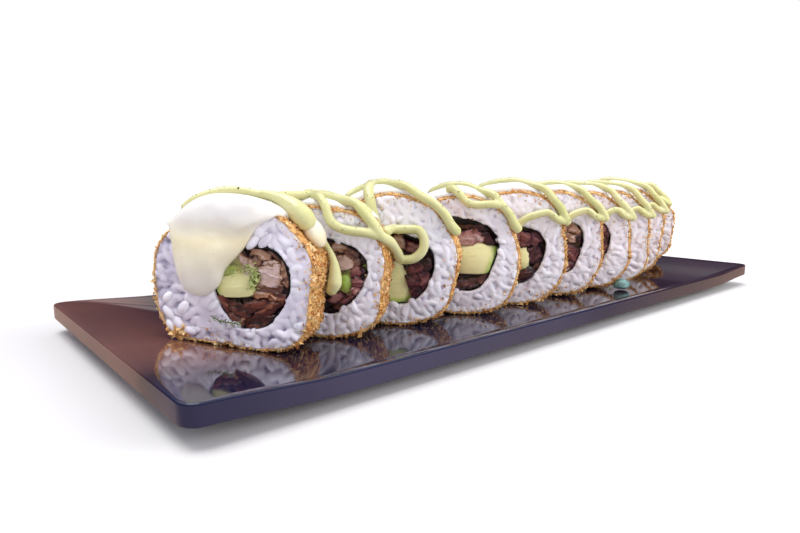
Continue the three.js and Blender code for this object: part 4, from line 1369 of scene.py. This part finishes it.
# A body that runs through the slice. "front" and "back" give the height and tone of its faces.
def filling_body(parts, cut, outline, front, back, sunk, grid, rounding, grown):
    sectors, rings = grid
    edge = even_outline(outline, sectors, rounding)
    middle = edge.mean(0)
    edge = middle + (edge - middle) * (1 + grown / np.linalg.norm(edge - middle, axis=1, keepdims=True))
    hole = np.array([cut["hole"][0], 0, cut["hole"][1]])
    bearing = np.arctan2(edge[:, 2] - hole[2], edge[:, 0] - hole[0])
    limit = np.linalg.norm(hole_point(cut, bearing, 0.1, 0) - hole, axis=1)
    own = np.linalg.norm(edge - hole, axis=1)
    edge = hole + (edge - hole) * np.minimum(1, limit / own)[:, None]

    def face(shares, surface, depth, towards):
        flat = (middle + shares[:, None, None] * (edge - middle)[None]).reshape(-1, 3)
        height, tone = surface(flat)
        rim = np.repeat(smooth((1 - shares) / 0.06), sectors)
        flat[:, 1] = depth - towards * lerp(-1.2, height, rim)
        return flat.reshape(len(shares), sectors, 3), tone.reshape(len(shares), sectors)

    front_loops, front_tone = face(np.linspace(0.02, 1, rings), front, sunk, 1)
    back_loops, back_tone = face(np.linspace(1, 0.05, BACK_LOOPS), back, THICKNESS - sunk, -1)
    sides = np.array([edge * [1, 0, 1] + [0, depth, 0] for depth in (5, 9.5, 14)])
    loops = np.concatenate([front_loops, sides, back_loops])
    tones = np.concatenate([front_tone, np.full((len(sides), sectors), 0.3), back_tone])
    ends = [loops[0].mean(0), loops[-1].mean(0)]
    loft(parts, loops, ends, np.append(tones, [tones[0].mean(), tones[-1].mean()]))


# Chunks set at random over an outline, no two too near
def random_chunks(outline, draw, spacing, soft):
    middle = outline.mean(0)
    if soft:
        reach = np.ptp(outline, axis=0) / 2
        return [(middle[0], middle[2], reach[0], reach[2], 0, 0.2, 0.1)]
    kept = []
    for _ in range(500):
        n = draw.integers(len(outline))
        edge = lerp(outline[n], outline[(n + 1) % len(outline)], draw.uniform())
        x, _, z = middle + math.sqrt(draw.uniform()) * 0.95 * (edge - middle)
        if all(np.hypot(x - q[0], z - q[1]) > spacing for q in kept):
            size = draw.uniform(1.7, 2.8)
            turn = draw.uniform(-70, 70)
            kept.append((x, z, size * 1.25, size * 0.8, turn, draw.uniform(0.1, 0.95), draw.uniform(0, 0.9)))
    return kept


# Avocado is green near its skin, which lies along the hole's edge.
def green_rim(cut, points, tones, seed):
    hole_edge = hole_point(cut, round_turn(120), 0.7, 0)[:, [0, 2]]
    away = np.min(np.linalg.norm(points[:, None, [0, 2]] - hole_edge[None], axis=-1), axis=1)
    green = (1 - smooth(away / GREEN_RIM)) * (0.85 + 0.3 * rough_noise(points, 3.0, seed))
    return np.clip(np.maximum(green, tones), 0, 1)


def make_filling(cut, draw, kind, outline):
    number = cut["number"]
    seed = 10 * number + len(kind)
    soft = kind == "avocado"
    form = dict(AVOCADO_FORM if soft else MEAT_FORM)
    torn, dome = form.pop("torn"), form.pop("dome")
    seen = SEEN_CHUNKS.get((kind, number)) or random_chunks(outline, draw, 2.7, soft)
    hidden = random_chunks(outline, draw, 3.4, soft)

    def front(points):
        return torn_surface(points, seen, seed, torn, dome)

    def back(points):
        return torn_surface(points, hidden, seed + 5, torn, dome)

    parts = Parts()
    grid = FILLING_GRIDS.get(number, PLAIN_GRID)
    filling_body(parts, cut, outline, front, back, FILLING_SUNK, grid, **form)
    if soft:
        parts.tones = [green_rim(cut, parts.points[0], parts.tones[0], seed)]
    parts.stand(cut)
    finish = "red_meat" if kind == "meat" and number > 1 else kind
    mesh_piece(f"{kind}_piece_{cut['label']}", parts, finish, (f"{kind}_{cut['label']}",))


def make_fillings(cut):
    draw = np.random.default_rng(900 + cut["number"])
    for kind, outline in filling_outlines(cut).items():
        make_filling(cut, draw, kind, outline)


def make_scrap(name, scrap):
    cut = SLICES[scrap["slice"] - 1]
    outline = np.array([(x, 0.0, z) for x, z in scrap["outline"]])
    parts = Parts()

    def surface(points):
        return torn_surface(points, scrap["chunks"], 77, torn=1.0, dome=0.4)

    filling_body(parts, cut, outline, surface, surface, SCRAP_SUNK, SCRAP_GRID, **SCRAP_FORM)
    parts.points[0][:, 1] = np.minimum(parts.points[0][:, 1], SCRAP_DEPTH)
    parts.stand(cut)
    mesh_piece(name, parts, "red_meat")


# Flecks of herb: chopped on the first slice's avocado, where it meets the meat, and dried in the sauce
FLECK = unit_ball(6, 3)
CHOPPED_COUNT = 260
CHOPPED_SPREAD = 0.75
CHOPPED_SHAPE = (1.5, 0.5, 0.2)
CHOPPED_ROUTE = [(-3.6, 1.6), (0.6, 2.2), (4.0, 3.4), (6.4, 2.4), (6.8, -0.4), (6.0, -2.8)]
ROUTE_STEPS = 60


def scatter_flecks(parts, draw, places, sizes, wobble):
    count = len(places)
    rolls = draw.uniform(0, TAU, count)
    leans = draw.normal(0, 1, (count, 3))
    scatter(parts, FLECK, draw, places, sizes, leans, rolls, np.zeros(count), wobble)


def make_chopped_herb(cut):
    draw = np.random.default_rng(33)
    parts = Parts()
    route = curve_through([(x, 0, z) for x, z in CHOPPED_ROUTE], ROUTE_STEPS)
    spots = (ROUTE_STEPS * np.sqrt(draw.uniform(0, 1, CHOPPED_COUNT))).astype(int)
    points = route[np.minimum(spots, ROUTE_STEPS - 1)] + draw.normal(0, CHOPPED_SPREAD, (CHOPPED_COUNT, 3))
    points[:, 1] = draw.uniform(-1.6, 0.3, CHOPPED_COUNT)
    sizes = draw.uniform(0.2, 0.5, (CHOPPED_COUNT, 1)) * np.array(CHOPPED_SHAPE)
    scatter_flecks(parts, draw, points, sizes, wobble=0.2)
    parts.stand(cut)
    mesh_piece("chopped_herb", parts, "herb")


def make_specks(places):
    draw = np.random.default_rng(21)
    places = np.concatenate(places)
    count = len(places)
    parts = Parts()
    sizes = draw.uniform(0.14, 0.3, (count, 1)) * draw.uniform(0.5, 1.4, (count, 3))
    scatter_flecks(parts, draw, places, sizes, wobble=0.3)
    mesh_piece("herb_specks", parts, "speck")


# Cream: a cap over each slice's top, and a lobe that hangs over the first slice's face
CAP_STEPS = 60
CAP_ROWS = 22
FIRST_CAP_SHARE = 0.93  # the first slice's cap stops short on its left, where the lobe starts
CAP_RUNS = 15  # degrees by which the cap's edge runs further down in places
CAP_RIPPLE = 0.6
CREAM_VOXEL = 0.6
FIRST_CREAM_VOXEL = 0.55
SAUCE_VOXEL = 0.42
LOBE_OUTLINE = [
    (-21.8, 12.4), (-20.6, 8), (-18.2, -0.6), (-15, -6.2), (-9.6, -7.6), (-4.6, -3.8), (-2.6, 2),
    (2.6, 9.2), (6.2, 16.4), (12.4, 21.6), (8, 25), (-2, 26), (-12, 24), (-19, 18.4),
]
LOBE_MIDDLE = (-8, 10.0)
LOBE_BASE = -0.9
LOBE_THICKNESS = 4.0
LOBE_STEPS = 18
LOBE_BACKING = 1.2
# Where the cream has gathered on the first slice: turn, depth, outset and half sizes
CREAM_LUMP = (38, 10.5, 2.2, (3.1, 5.8, 6.2))


def cream_height(cut, share, depth_share):
    crown = np.sqrt(np.sin(math.pi * np.clip(share, 0.02, 0.98)))
    swell = 0.5 * np.sin(5 * share + 3 * depth_share + cut["number"])
    along = 0.75 + 0.25 * np.sin(math.pi * depth_share)
    return 0.9 + crown * (cut["cream"][4] + swell) * along


def cream_angle(cut, share, depth_share):
    right_front, right_back, left_front, left_back = cut["cream"][:4]
    right = lerp(right_front, right_back, depth_share)
    left = lerp(left_front, left_back, depth_share)
    return np.radians(lerp(right, left, share))


def cream_cap(cut, parts):
    number = cut["number"]
    depths = np.linspace(0, 1, CAP_ROWS + 1)
    from_end = np.minimum(depths, 1 - depths)
    shares = np.linspace(0, 1, CAP_STEPS + 1) * (FIRST_CAP_SHARE if number == 1 else 1)
    rounded_end = 0.45 + 0.55 * smooth(7 * from_end)
    loops = []
    for s in shares:
        rounded_side = 0.6 + 0.4 * min(1.0, 10 * min(s, 1 - s))
        spots = np.stack([depths * 19, 0 * depths + 20 * (s > 0.5), 0 * depths + number * 7], -1)
        runs = CAP_RUNS * rough_noise(spots, 5.5, 3, 2) * smooth(6 * from_end)
        edge_pull = (2 * s - 1) * abs(2 * s - 1) ** 4 * np.radians(runs)
        angle = cream_angle(cut, s, depths) + edge_pull
        height = rounded_side * rounded_end * cream_height(cut, s, depths)
        round_off = 0.9 + 0.9 * rough_noise(np.array([[14 * s, 0, 5.0 * number]]), 2.5, 8)[0]
        depth = lerp(min(cut["cream_front"], 1.1), THICKNESS - 0.4 - round_off, depths)
        ripple = CAP_RIPPLE * rough_noise(outer_point(cut, angle, 0, depth), 6.0, number, 2)
        low = outer_point(cut, angle, CREAM_LIFT - 1.0, depth)
        high = outer_point(cut, angle, CREAM_LIFT + height + ripple, depth)
        loops.append(np.concatenate([low, high[::-1]]))
    loft(parts, loops, [loops[0].mean(0), loops[-1].mean(0)])


# The lobe sags in folds: it is drawn in at one height and swells below it.
def face_lobe(parts):
    edge = curve_through([(x, LOBE_BASE, z) for x, z in LOBE_OUTLINE], 90, closed=True)
    middle = np.array([LOBE_MIDDLE[0], LOBE_BASE, LOBE_MIDDLE[1]])
    backing = middle + 0.95 * (edge - middle)
    backing[:, 1] = LOBE_BACKING
    loops = [backing]
    for step in range(LOBE_STEPS + 1):
        t = step / LOBE_STEPS * math.pi / 2
        share = math.cos(t) ** 0.62
        height = math.sin(t) ** 0.8
        ring = middle + max(share, 0.02) * (edge - middle)
        waist = np.exp(-(((ring[:, 2] - 13) / 3.2) ** 2))
        belly = np.exp(-(((ring[:, 2] - 3) / 5) ** 2))
        uneven = 0.9 * height * rough_noise(ring + 40.0, 8.0, 12, 2)
        uneven = uneven - 1.2 * height * waist + 0.6 * height * belly
        ring[:, 1] = LOBE_BASE - height * LOBE_THICKNESS - uneven
        loops.append(ring)
    loft(parts, loops, [backing.mean(0), loops[-1].mean(0)])


def lump(parts, cut, turn, depth, outset, radii):
    ball, faces = unit_ball(28, 18)
    x, y, z = (ball[:, [0, 2, 1]] * np.array(radii)).T
    a = math.radians(turn)
    moved = np.stack([x * math.cos(a) - z * math.sin(a), y, x * math.sin(a) + z * math.cos(a)], -1)
    parts.add(moved + outer_point(cut, a, outset, depth), faces)


# Herb sauce. A strand's points are a turn and a depth on the cream, or with a third number on the crust at
# that outset, or a place in the slice's own frame.
def at(x, y, z):
    return ("at", x, y, z)


# A place on the cut face, just clear of it
def on_face(x, z):
    return at(x, -2.7, z)


# A strand over the top of a far slice and down its right side
def over_top(start):
    over = [(start, 14), (start - 18, 10), (start - 34, 7), (start - 48, 3.8)]
    return over + [(60, 1, 3.2), (50, -1, 1.6), (40, -1.3, 1.4), (30, -1.2, 1.4), (22, 0.6, 2.4)]


# A strand that bows across a far slice's face
def bow(start_x):
    rise = [on_face(start_x - 2.8, 9.0), on_face(start_x, 12.4), on_face((start_x + 16.4) / 2, 14.8)]
    return rise + [on_face(16.4, 15.6), on_face(20.2, 12.8), (26, -1.4, 1.4)]


STRANDS = [
    [
        [
            (138, 3, 3.0), (130, 3.8, 4.3), (120, 5.0, 4.7), (109, 6.8, 4.4),
            (96, 8.4, 3.8), (84, 8.8, 3.5), (74, 8.4, 3.5),
        ],
        [(98, 11), (78, 15.5), (60, 16.6), (50, 16)],
        [
            (94, 9.5), (86, 13.5),
            at(6.5, 17.2, 26.4), at(9.6, 20.4, 26.9), at(13.4, 24.2, 27.4), at(18.0, 28.2, 28.0),
        ],
    ],
    [
        [
            (118, 13), (104, 8), (93, 4), (88, 0.8, 3.2), (82, -1.6, 0.8),
            on_face(5.4, 18.2), on_face(8.4, 16), on_face(12.4, 14.9), on_face(17.2, 14.4), (30, -1.2, 1.4),
        ],
        [
            (122, 15), (104, 12), (88, 7.5), (72, 3.8), (61, 0.8, 3.2), (50, -1, 1.6), (40, -1.3, 1.4),
            (31, -1.1, 1.5), (24, 2, 2.7), (16, 8, 2.7), (9, 14, 2.7), at(26.9, 18.3, 2.6), at(31.6, 18.3, 3),
            at(35, 18.3, 6.2), at(35.4, 18.3, 10.4), at(33.6, 18.3, 13.5), at(29.4, 18.3, 13.9),
            at(26, 18.3, 13.8), at(23.6, 18, 14), (31, 11, 2.7), (32, 5, 2.7),
        ],
        [(124, 17.4), (106, 15.6), (90, 12), (76, 8.6), (66, 6.2), (56, 4.4, 2.6), (47, 1.4, 2.2)],
    ],
    [
        [
            (122, 12), (104, 8), (90, 4.6), (78, 1, 3.4), (66, -0.9, 1.8),
            (54, -1.3, 1.4), (42, -1.3, 1.4), (30, -1.2, 1.4), (21, 0.6, 2.4),
        ],
        [(92, 16.5), (108, 12), (120, 7), (128, 4.4)],
        [
            (108, 12), (107, 9), (107, 5.6), (108, 2.0, 2.8),
            at(-7.4, -1.3, 22.4), at(-6.6, -2.1, 18.8), at(-5.6, -2.1, 15.4), at(-4.4, -1.9, 12),
        ],
    ],
    [
        over_top(118),
        [
            (100, 3.4, 3.2), (94, 0.4, 3), (89, -1.6, 0.8), on_face(3.6, 22), on_face(7.8, 21),
            (58, -2.4, -0.4), (50, -1.2, 1.4),
        ],
    ],
    [over_top(120), bow(5.8)],
    [over_top(117), bow(8)],
    [over_top(121), bow(10)],
    [over_top(118), bow(12)],
    [over_top(121), bow(12.6)],
    [over_top(118)[:-1], bow(13.2)],
]
# Strands that have run wider or thinner than the others: slice and strand, and how wide
STRAND_SWELL = {(3, 2): 1.2, (2, 1): 1.08, (2, 2): 0.9, (1, 0): 0.78, (1, 1): 1.2}
# Runs of sauce down the first slice's side: turn, depth, radius and outset along each
DOLLOP = [
    (82, 8.8, 1.3, 4.0), (72, 8.0, 1.9, 4.1), (63, 7.0, 2.7, 4.0),
    (55, 6.2, 3.4, 3.8), (48.5, 5.8, 3.6, 3.6), (46, 5.8, 3.4, 3.5),
]
SIDE_DROP = [
    (36, 13, 1.3, 2.1), (24, 16.4, 1, 1.8), (14, 16.8, 1.4, 2.2),
    (6, 16.4, 2.1, 2.9), (-1, 16, 2.6, 3.4), (-6, 16, 2, 2.8),
]
DRIP_STEPS = 40


def strand_point(cut, point):
    if point[0] == "at":
        return np.array(point[1:], float)
    turn, depth = math.radians(point[0]), point[1]
    if len(point) == 3:
        return outer_point(cut, turn, point[2], depth)
    depth_share = (depth - cut["cream_front"]) / (THICKNESS - cut["cream_front"])
    right = cream_angle(cut, 0, depth_share)
    left = cream_angle(cut, 1, depth_share)
    share = (turn - right) / (left - right)
    lift = 0.4 + cream_height(cut, share, depth_share) if 0 < share < 1 else STRAND_RADIUS
    return outer_point(cut, turn, CREAM_LIFT + lift, depth)


# Makes one strand, and gives the places on it where bits of dried herb stick out
def add_strand(sauce, cut, draw, n, points):
    count = 14 * len(points)
    route = curve_through([strand_point(cut, p) for p in points], count)
    swell = STRAND_SWELL.get((cut["number"], n), 1) + 0.18 * rough_noise(route, 6.0, 60 + n)
    ends = smooth(np.minimum(np.arange(count), count - 1 - np.arange(count)) / 5)
    radii = STRAND_RADIUS * swell * (0.35 + 0.65 * ends)
    tube(sauce, route, radii)
    some = draw.integers(3, count - 3, count // 9)
    outwards = draw.normal(0, 0.6, (len(some), 3)) + [0, -1.2, 0] + 0.05 * route[some] * [1, 0, 1]
    outwards /= np.linalg.norm(outwards, axis=1, keepdims=True)
    return to_plate(cut, route[some] + outwards * radii[some, None] * 0.93)


# A run that swells towards its end, with a ball at each end
def drip(parts, cut, places):
    knots = [outer_point(cut, math.radians(turn), outset, depth) for turn, depth, _, outset in places]
    route = curve_through(knots, DRIP_STEPS)
    last = len(places) - 1
    radii = np.interp(np.linspace(0, last, DRIP_STEPS), range(last + 1), [place[2] for place in places])
    tube(parts, route, radii, 18)
    ball, faces = unit_ball(18, 12)
    for end, radius in ((route[0], radii[0]), (route[-1], radii[-1])):
        parts.add(ball * radius + end, faces)


def make_cream(cut):
    draw = np.random.default_rng(70 + cut["number"])
    first = cut["number"] == 1
    cream = Parts()
    sauce = Parts()
    cream_cap(cut, cream)
    specks = [add_strand(sauce, cut, draw, n, points) for n, points in enumerate(STRANDS[cut["number"] - 1])]
    if first:
        face_lobe(cream)
        lump(cream, cut, *CREAM_LUMP)
        drip(sauce, cut, DOLLOP)
        drip(sauce, cut, SIDE_DROP)
    cream.stand(cut)
    sauce.stand(cut)
    node = "cream_" + cut["label"]
    voxel = FIRST_CREAM_VOXEL if first else CREAM_VOXEL
    mesh_piece("melted_cream_" + cut["label"], cream, "cream", (node,), voxel, smoothing=6)
    mesh_piece("herb_sauce_" + cut["label"], sauce, "sauce", (node,), SAUCE_VOXEL, smoothing=3)
    return specks


# Dill: a sprig on the first slice's face, a wavy stem with leaves on both sides
DILL_KNOTS = 7
STEM_STEPS = 40
STEM_RADIUS = 0.2
LEAF_STEPS = 7
LEAF_RADII = (0.17, 0.07)


def make_dill(cut):
    draw = np.random.default_rng(5)
    parts = Parts()
    stem = []
    for i in range(DILL_KNOTS):
        y = -1.5 - 0.25 * math.sin(i * 1.2)
        z = -13.2 - 0.35 * i - 0.5 * math.sin(0.8 * i)
        stem.append((-6 + 1.7 * i, y, z))
    route = curve_through(stem, STEM_STEPS)
    tube(parts, route, STEM_RADIUS, 6)
    for i, side in product(range(3, STEM_STEPS - 1, 3), (-1, 1)):
        reach = draw.uniform(0.5, 1.5)
        tip = route[i] + np.array([draw.uniform(0.2, 1.6), draw.uniform(-0.5, 0.3), side * reach])
        bend = (route[i] + tip) / 2 + draw.uniform(-0.35, 0.35, 3)
        leaf = curve_through([route[i], bend, tip], LEAF_STEPS)
        tube(parts, leaf, np.linspace(*LEAF_RADII, LEAF_STEPS), 5)
    parts.stand(cut)
    mesh_piece("dill_sprig", parts, "dill", ("dill_01",))


# Wasabi: a lumpy dab on its solid's place, with its upper half drawn up
WASABI_DRAWN_UP = 2.2


def make_wasabi():
    parts = Parts()
    ball, faces = unit_ball(48, 30)
    low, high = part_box("wasabi")
    middle = (np.array(low) + np.array(high)) / 2 / MM
    half = (np.array(high) - np.array(low)) / 2 / MM
    points = np.sign(ball) * np.abs(ball) ** 0.85 * half
    bumps = 1 + 0.16 * rough_noise(points, 2.0, 3) + 0.05 * rough_noise(points, 0.7, 8)
    points = points * bumps[:, None] * 0.95
    z = points[:, 2]
    points[:, 2] = np.where(z > 0, WASABI_DRAWN_UP * z, np.maximum(z, -half[2] * 0.9))
    parts.add(points + middle, faces, 0.5 + 0.5 * rough_noise(points, 1.5, 4))
    mesh_piece("wasabi_paste", parts, "wasabi", ("wasabi",))


# Studio: a pale floor, soft light and a camera at the photo's angle. Lengths here are metres.
FLOOR_HALF = 6.0
FLOOR_PALE = (0.70, 0.70, 0.70)
FLOOR_CLOUD = (0.69, 0.69, 0.70)
FLOOR_REFLECTED = (0.30, 0.23, 0.20)
FLOOR_GLOW = 0.5
FADE_START = 0.25
FADE_END = 0.7
KEY_LIGHT = dict(towards=(-0.2, 0.05, 1.0), strength=2.3, width=40, colour=(1, 0.98, 0.94))
FILL_LIGHT = dict(
    place=(0.5, -0.75, 0.35), target=(0, 0, 0.03), size=(0.7, 0.5), power=7, colour=(1, 0.97, 0.92)
)
# Height above the horizon, and the light that comes from there: to dull surfaces and to glossy ones
DIFFUSE_SKY = [(0.0, (0.93, 0.91, 1.0)), (1.0, (0.60, 0.60, 0.68))]
REFLECTED_SKY = [
    (0.0, (0.024, 0.016, 0.034)),
    (0.16, (0.034, 0.024, 0.050)),
    (0.42, (0.14, 0.13, 0.19)),
    (0.8, (1.3, 1.3, 1.3)),
]
LENS = 26.01
SENSOR_WIDTH = 36
CAMERA_PLACE = (-0.20686, -0.19159, 0.06026)
CAMERA_TURN = math.radians(-40.7)
CAMERA_DOWN = math.radians(8.5)


# The floor is darker and warmer in reflections, and to the camera it fades to white away from the plate.
def floor_finish():
    finish = Finish("pale floor", Roughness=0.9, Specular_IOR_Level=0.0, Emission_Strength=FLOOR_GLOW)
    path = finish.node("LightPath").outputs
    pale = finish.mottle(FLOOR_PALE, FLOOR_CLOUD, scale=3, detail=2, low=0.3, high=0.7)
    finish.link("Base Color", mix_colours(finish.tree, path["Is Glossy Ray"], pale, FLOOR_REFLECTED))
    spot = finish.node("TexCoord").outputs["Object"]
    away = finish.node("VectorMath", {0: spot}, operation="LENGTH").outputs["Value"]
    fade = {"Value": away, "From Min": FADE_START, "From Max": FADE_END}
    far = finish.node("MapRange", interpolation_type="SMOOTHSTEP", inputs=fade).outputs["Result"]
    white = finish.ramp([(0.0, BLACK), (1.0, WHITE)], far)
    finish.link("Emission Color", mix_colours(finish.tree, path["Is Camera Ray"], BLACK, white))
    return finish.material


def make_floor():
    half = FLOOR_HALF
    corners = [(-half, -half, 0), (half, -half, 0), (half, half, 0), (-half, half, 0)]
    mesh = bpy.data.meshes.new("floor")
    mesh.from_pydata(corners, [], [(0, 1, 2, 3)])
    mesh.materials.append(floor_finish())
    add_object("floor", mesh)


def make_key_light(towards, strength, width, colour):
    data = bpy.data.lights.new("key", "SUN")
    data.energy = strength
    data.angle = math.radians(width)
    data.color = colour
    add_object("key", data).rotation_euler = Vector(towards).to_track_quat("Z", "Y").to_euler()


def make_fill_light(place, target, size, power, colour):
    data = bpy.data.lights.new("fill", "AREA")
    data.shape = "RECTANGLE"
    data.size, data.size_y = size
    data.energy = power
    data.color = colour
    lamp = add_object("fill", data)
    lamp.location = place
    lamp.rotation_euler = (Vector(target) - Vector(place)).to_track_quat("-Z", "Y").to_euler()
    lamp.visible_glossy = False


# The world is white to the camera, soft and bluish as light, and dark near the horizon in reflections.
def make_world():
    world = bpy.data.worlds.new("studio")
    bpy.context.scene.world = world
    world.use_nodes = True
    tree = world.node_tree
    tree.nodes.clear()
    spot = add_node(tree, "TexCoord").outputs["Generated"]
    height = add_node(tree, "SeparateXYZ", {0: spot}).outputs["Z"]
    path = add_node(tree, "LightPath").outputs

    def light(colour):
        return add_node(tree, "Background", {"Color": colour, "Strength": 1.0}).outputs[0]

    def choose(ray, otherwise, chosen):
        return add_node(tree, "MixShader", {0: path[ray], 1: otherwise, 2: chosen}).outputs[0]

    dull = light(colour_ramp(tree, DIFFUSE_SKY, height))
    glossy = light(colour_ramp(tree, REFLECTED_SKY, height))
    lit = choose("Is Glossy Ray", dull, glossy)
    add_node(tree, "OutputWorld", {0: choose("Is Camera Ray", lit, light(WHITE))})


def make_camera():
    data = bpy.data.cameras.new("camera")
    data.lens = LENS
    data.sensor_width = SENSOR_WIDTH
    data.clip_start = 0.01
    camera = add_object("camera", data)
    camera.location = CAMERA_PLACE
    camera.rotation_euler = (math.pi / 2 - CAMERA_DOWN, 0, CAMERA_TURN)
    bpy.context.scene.camera = camera


set_out_row()
make_plate()
specks = []
for cut in SLICES:
    make_rice(cut)
    make_crust(cut)
    make_nori(cut)
    make_fillings(cut)
    specks += make_cream(cut)
make_specks(specks)
for name, scrap in SCRAPS.items():
    make_scrap(name, scrap)
make_chopped_herb(SLICES[0])
make_dill(SLICES[0])
make_wasabi()

make_floor()
make_key_light(**KEY_LIGHT)
make_fill_light(**FILL_LIGHT)
make_world()
make_camera()
bpy.context.scene.view_settings.view_transform = "Standard"
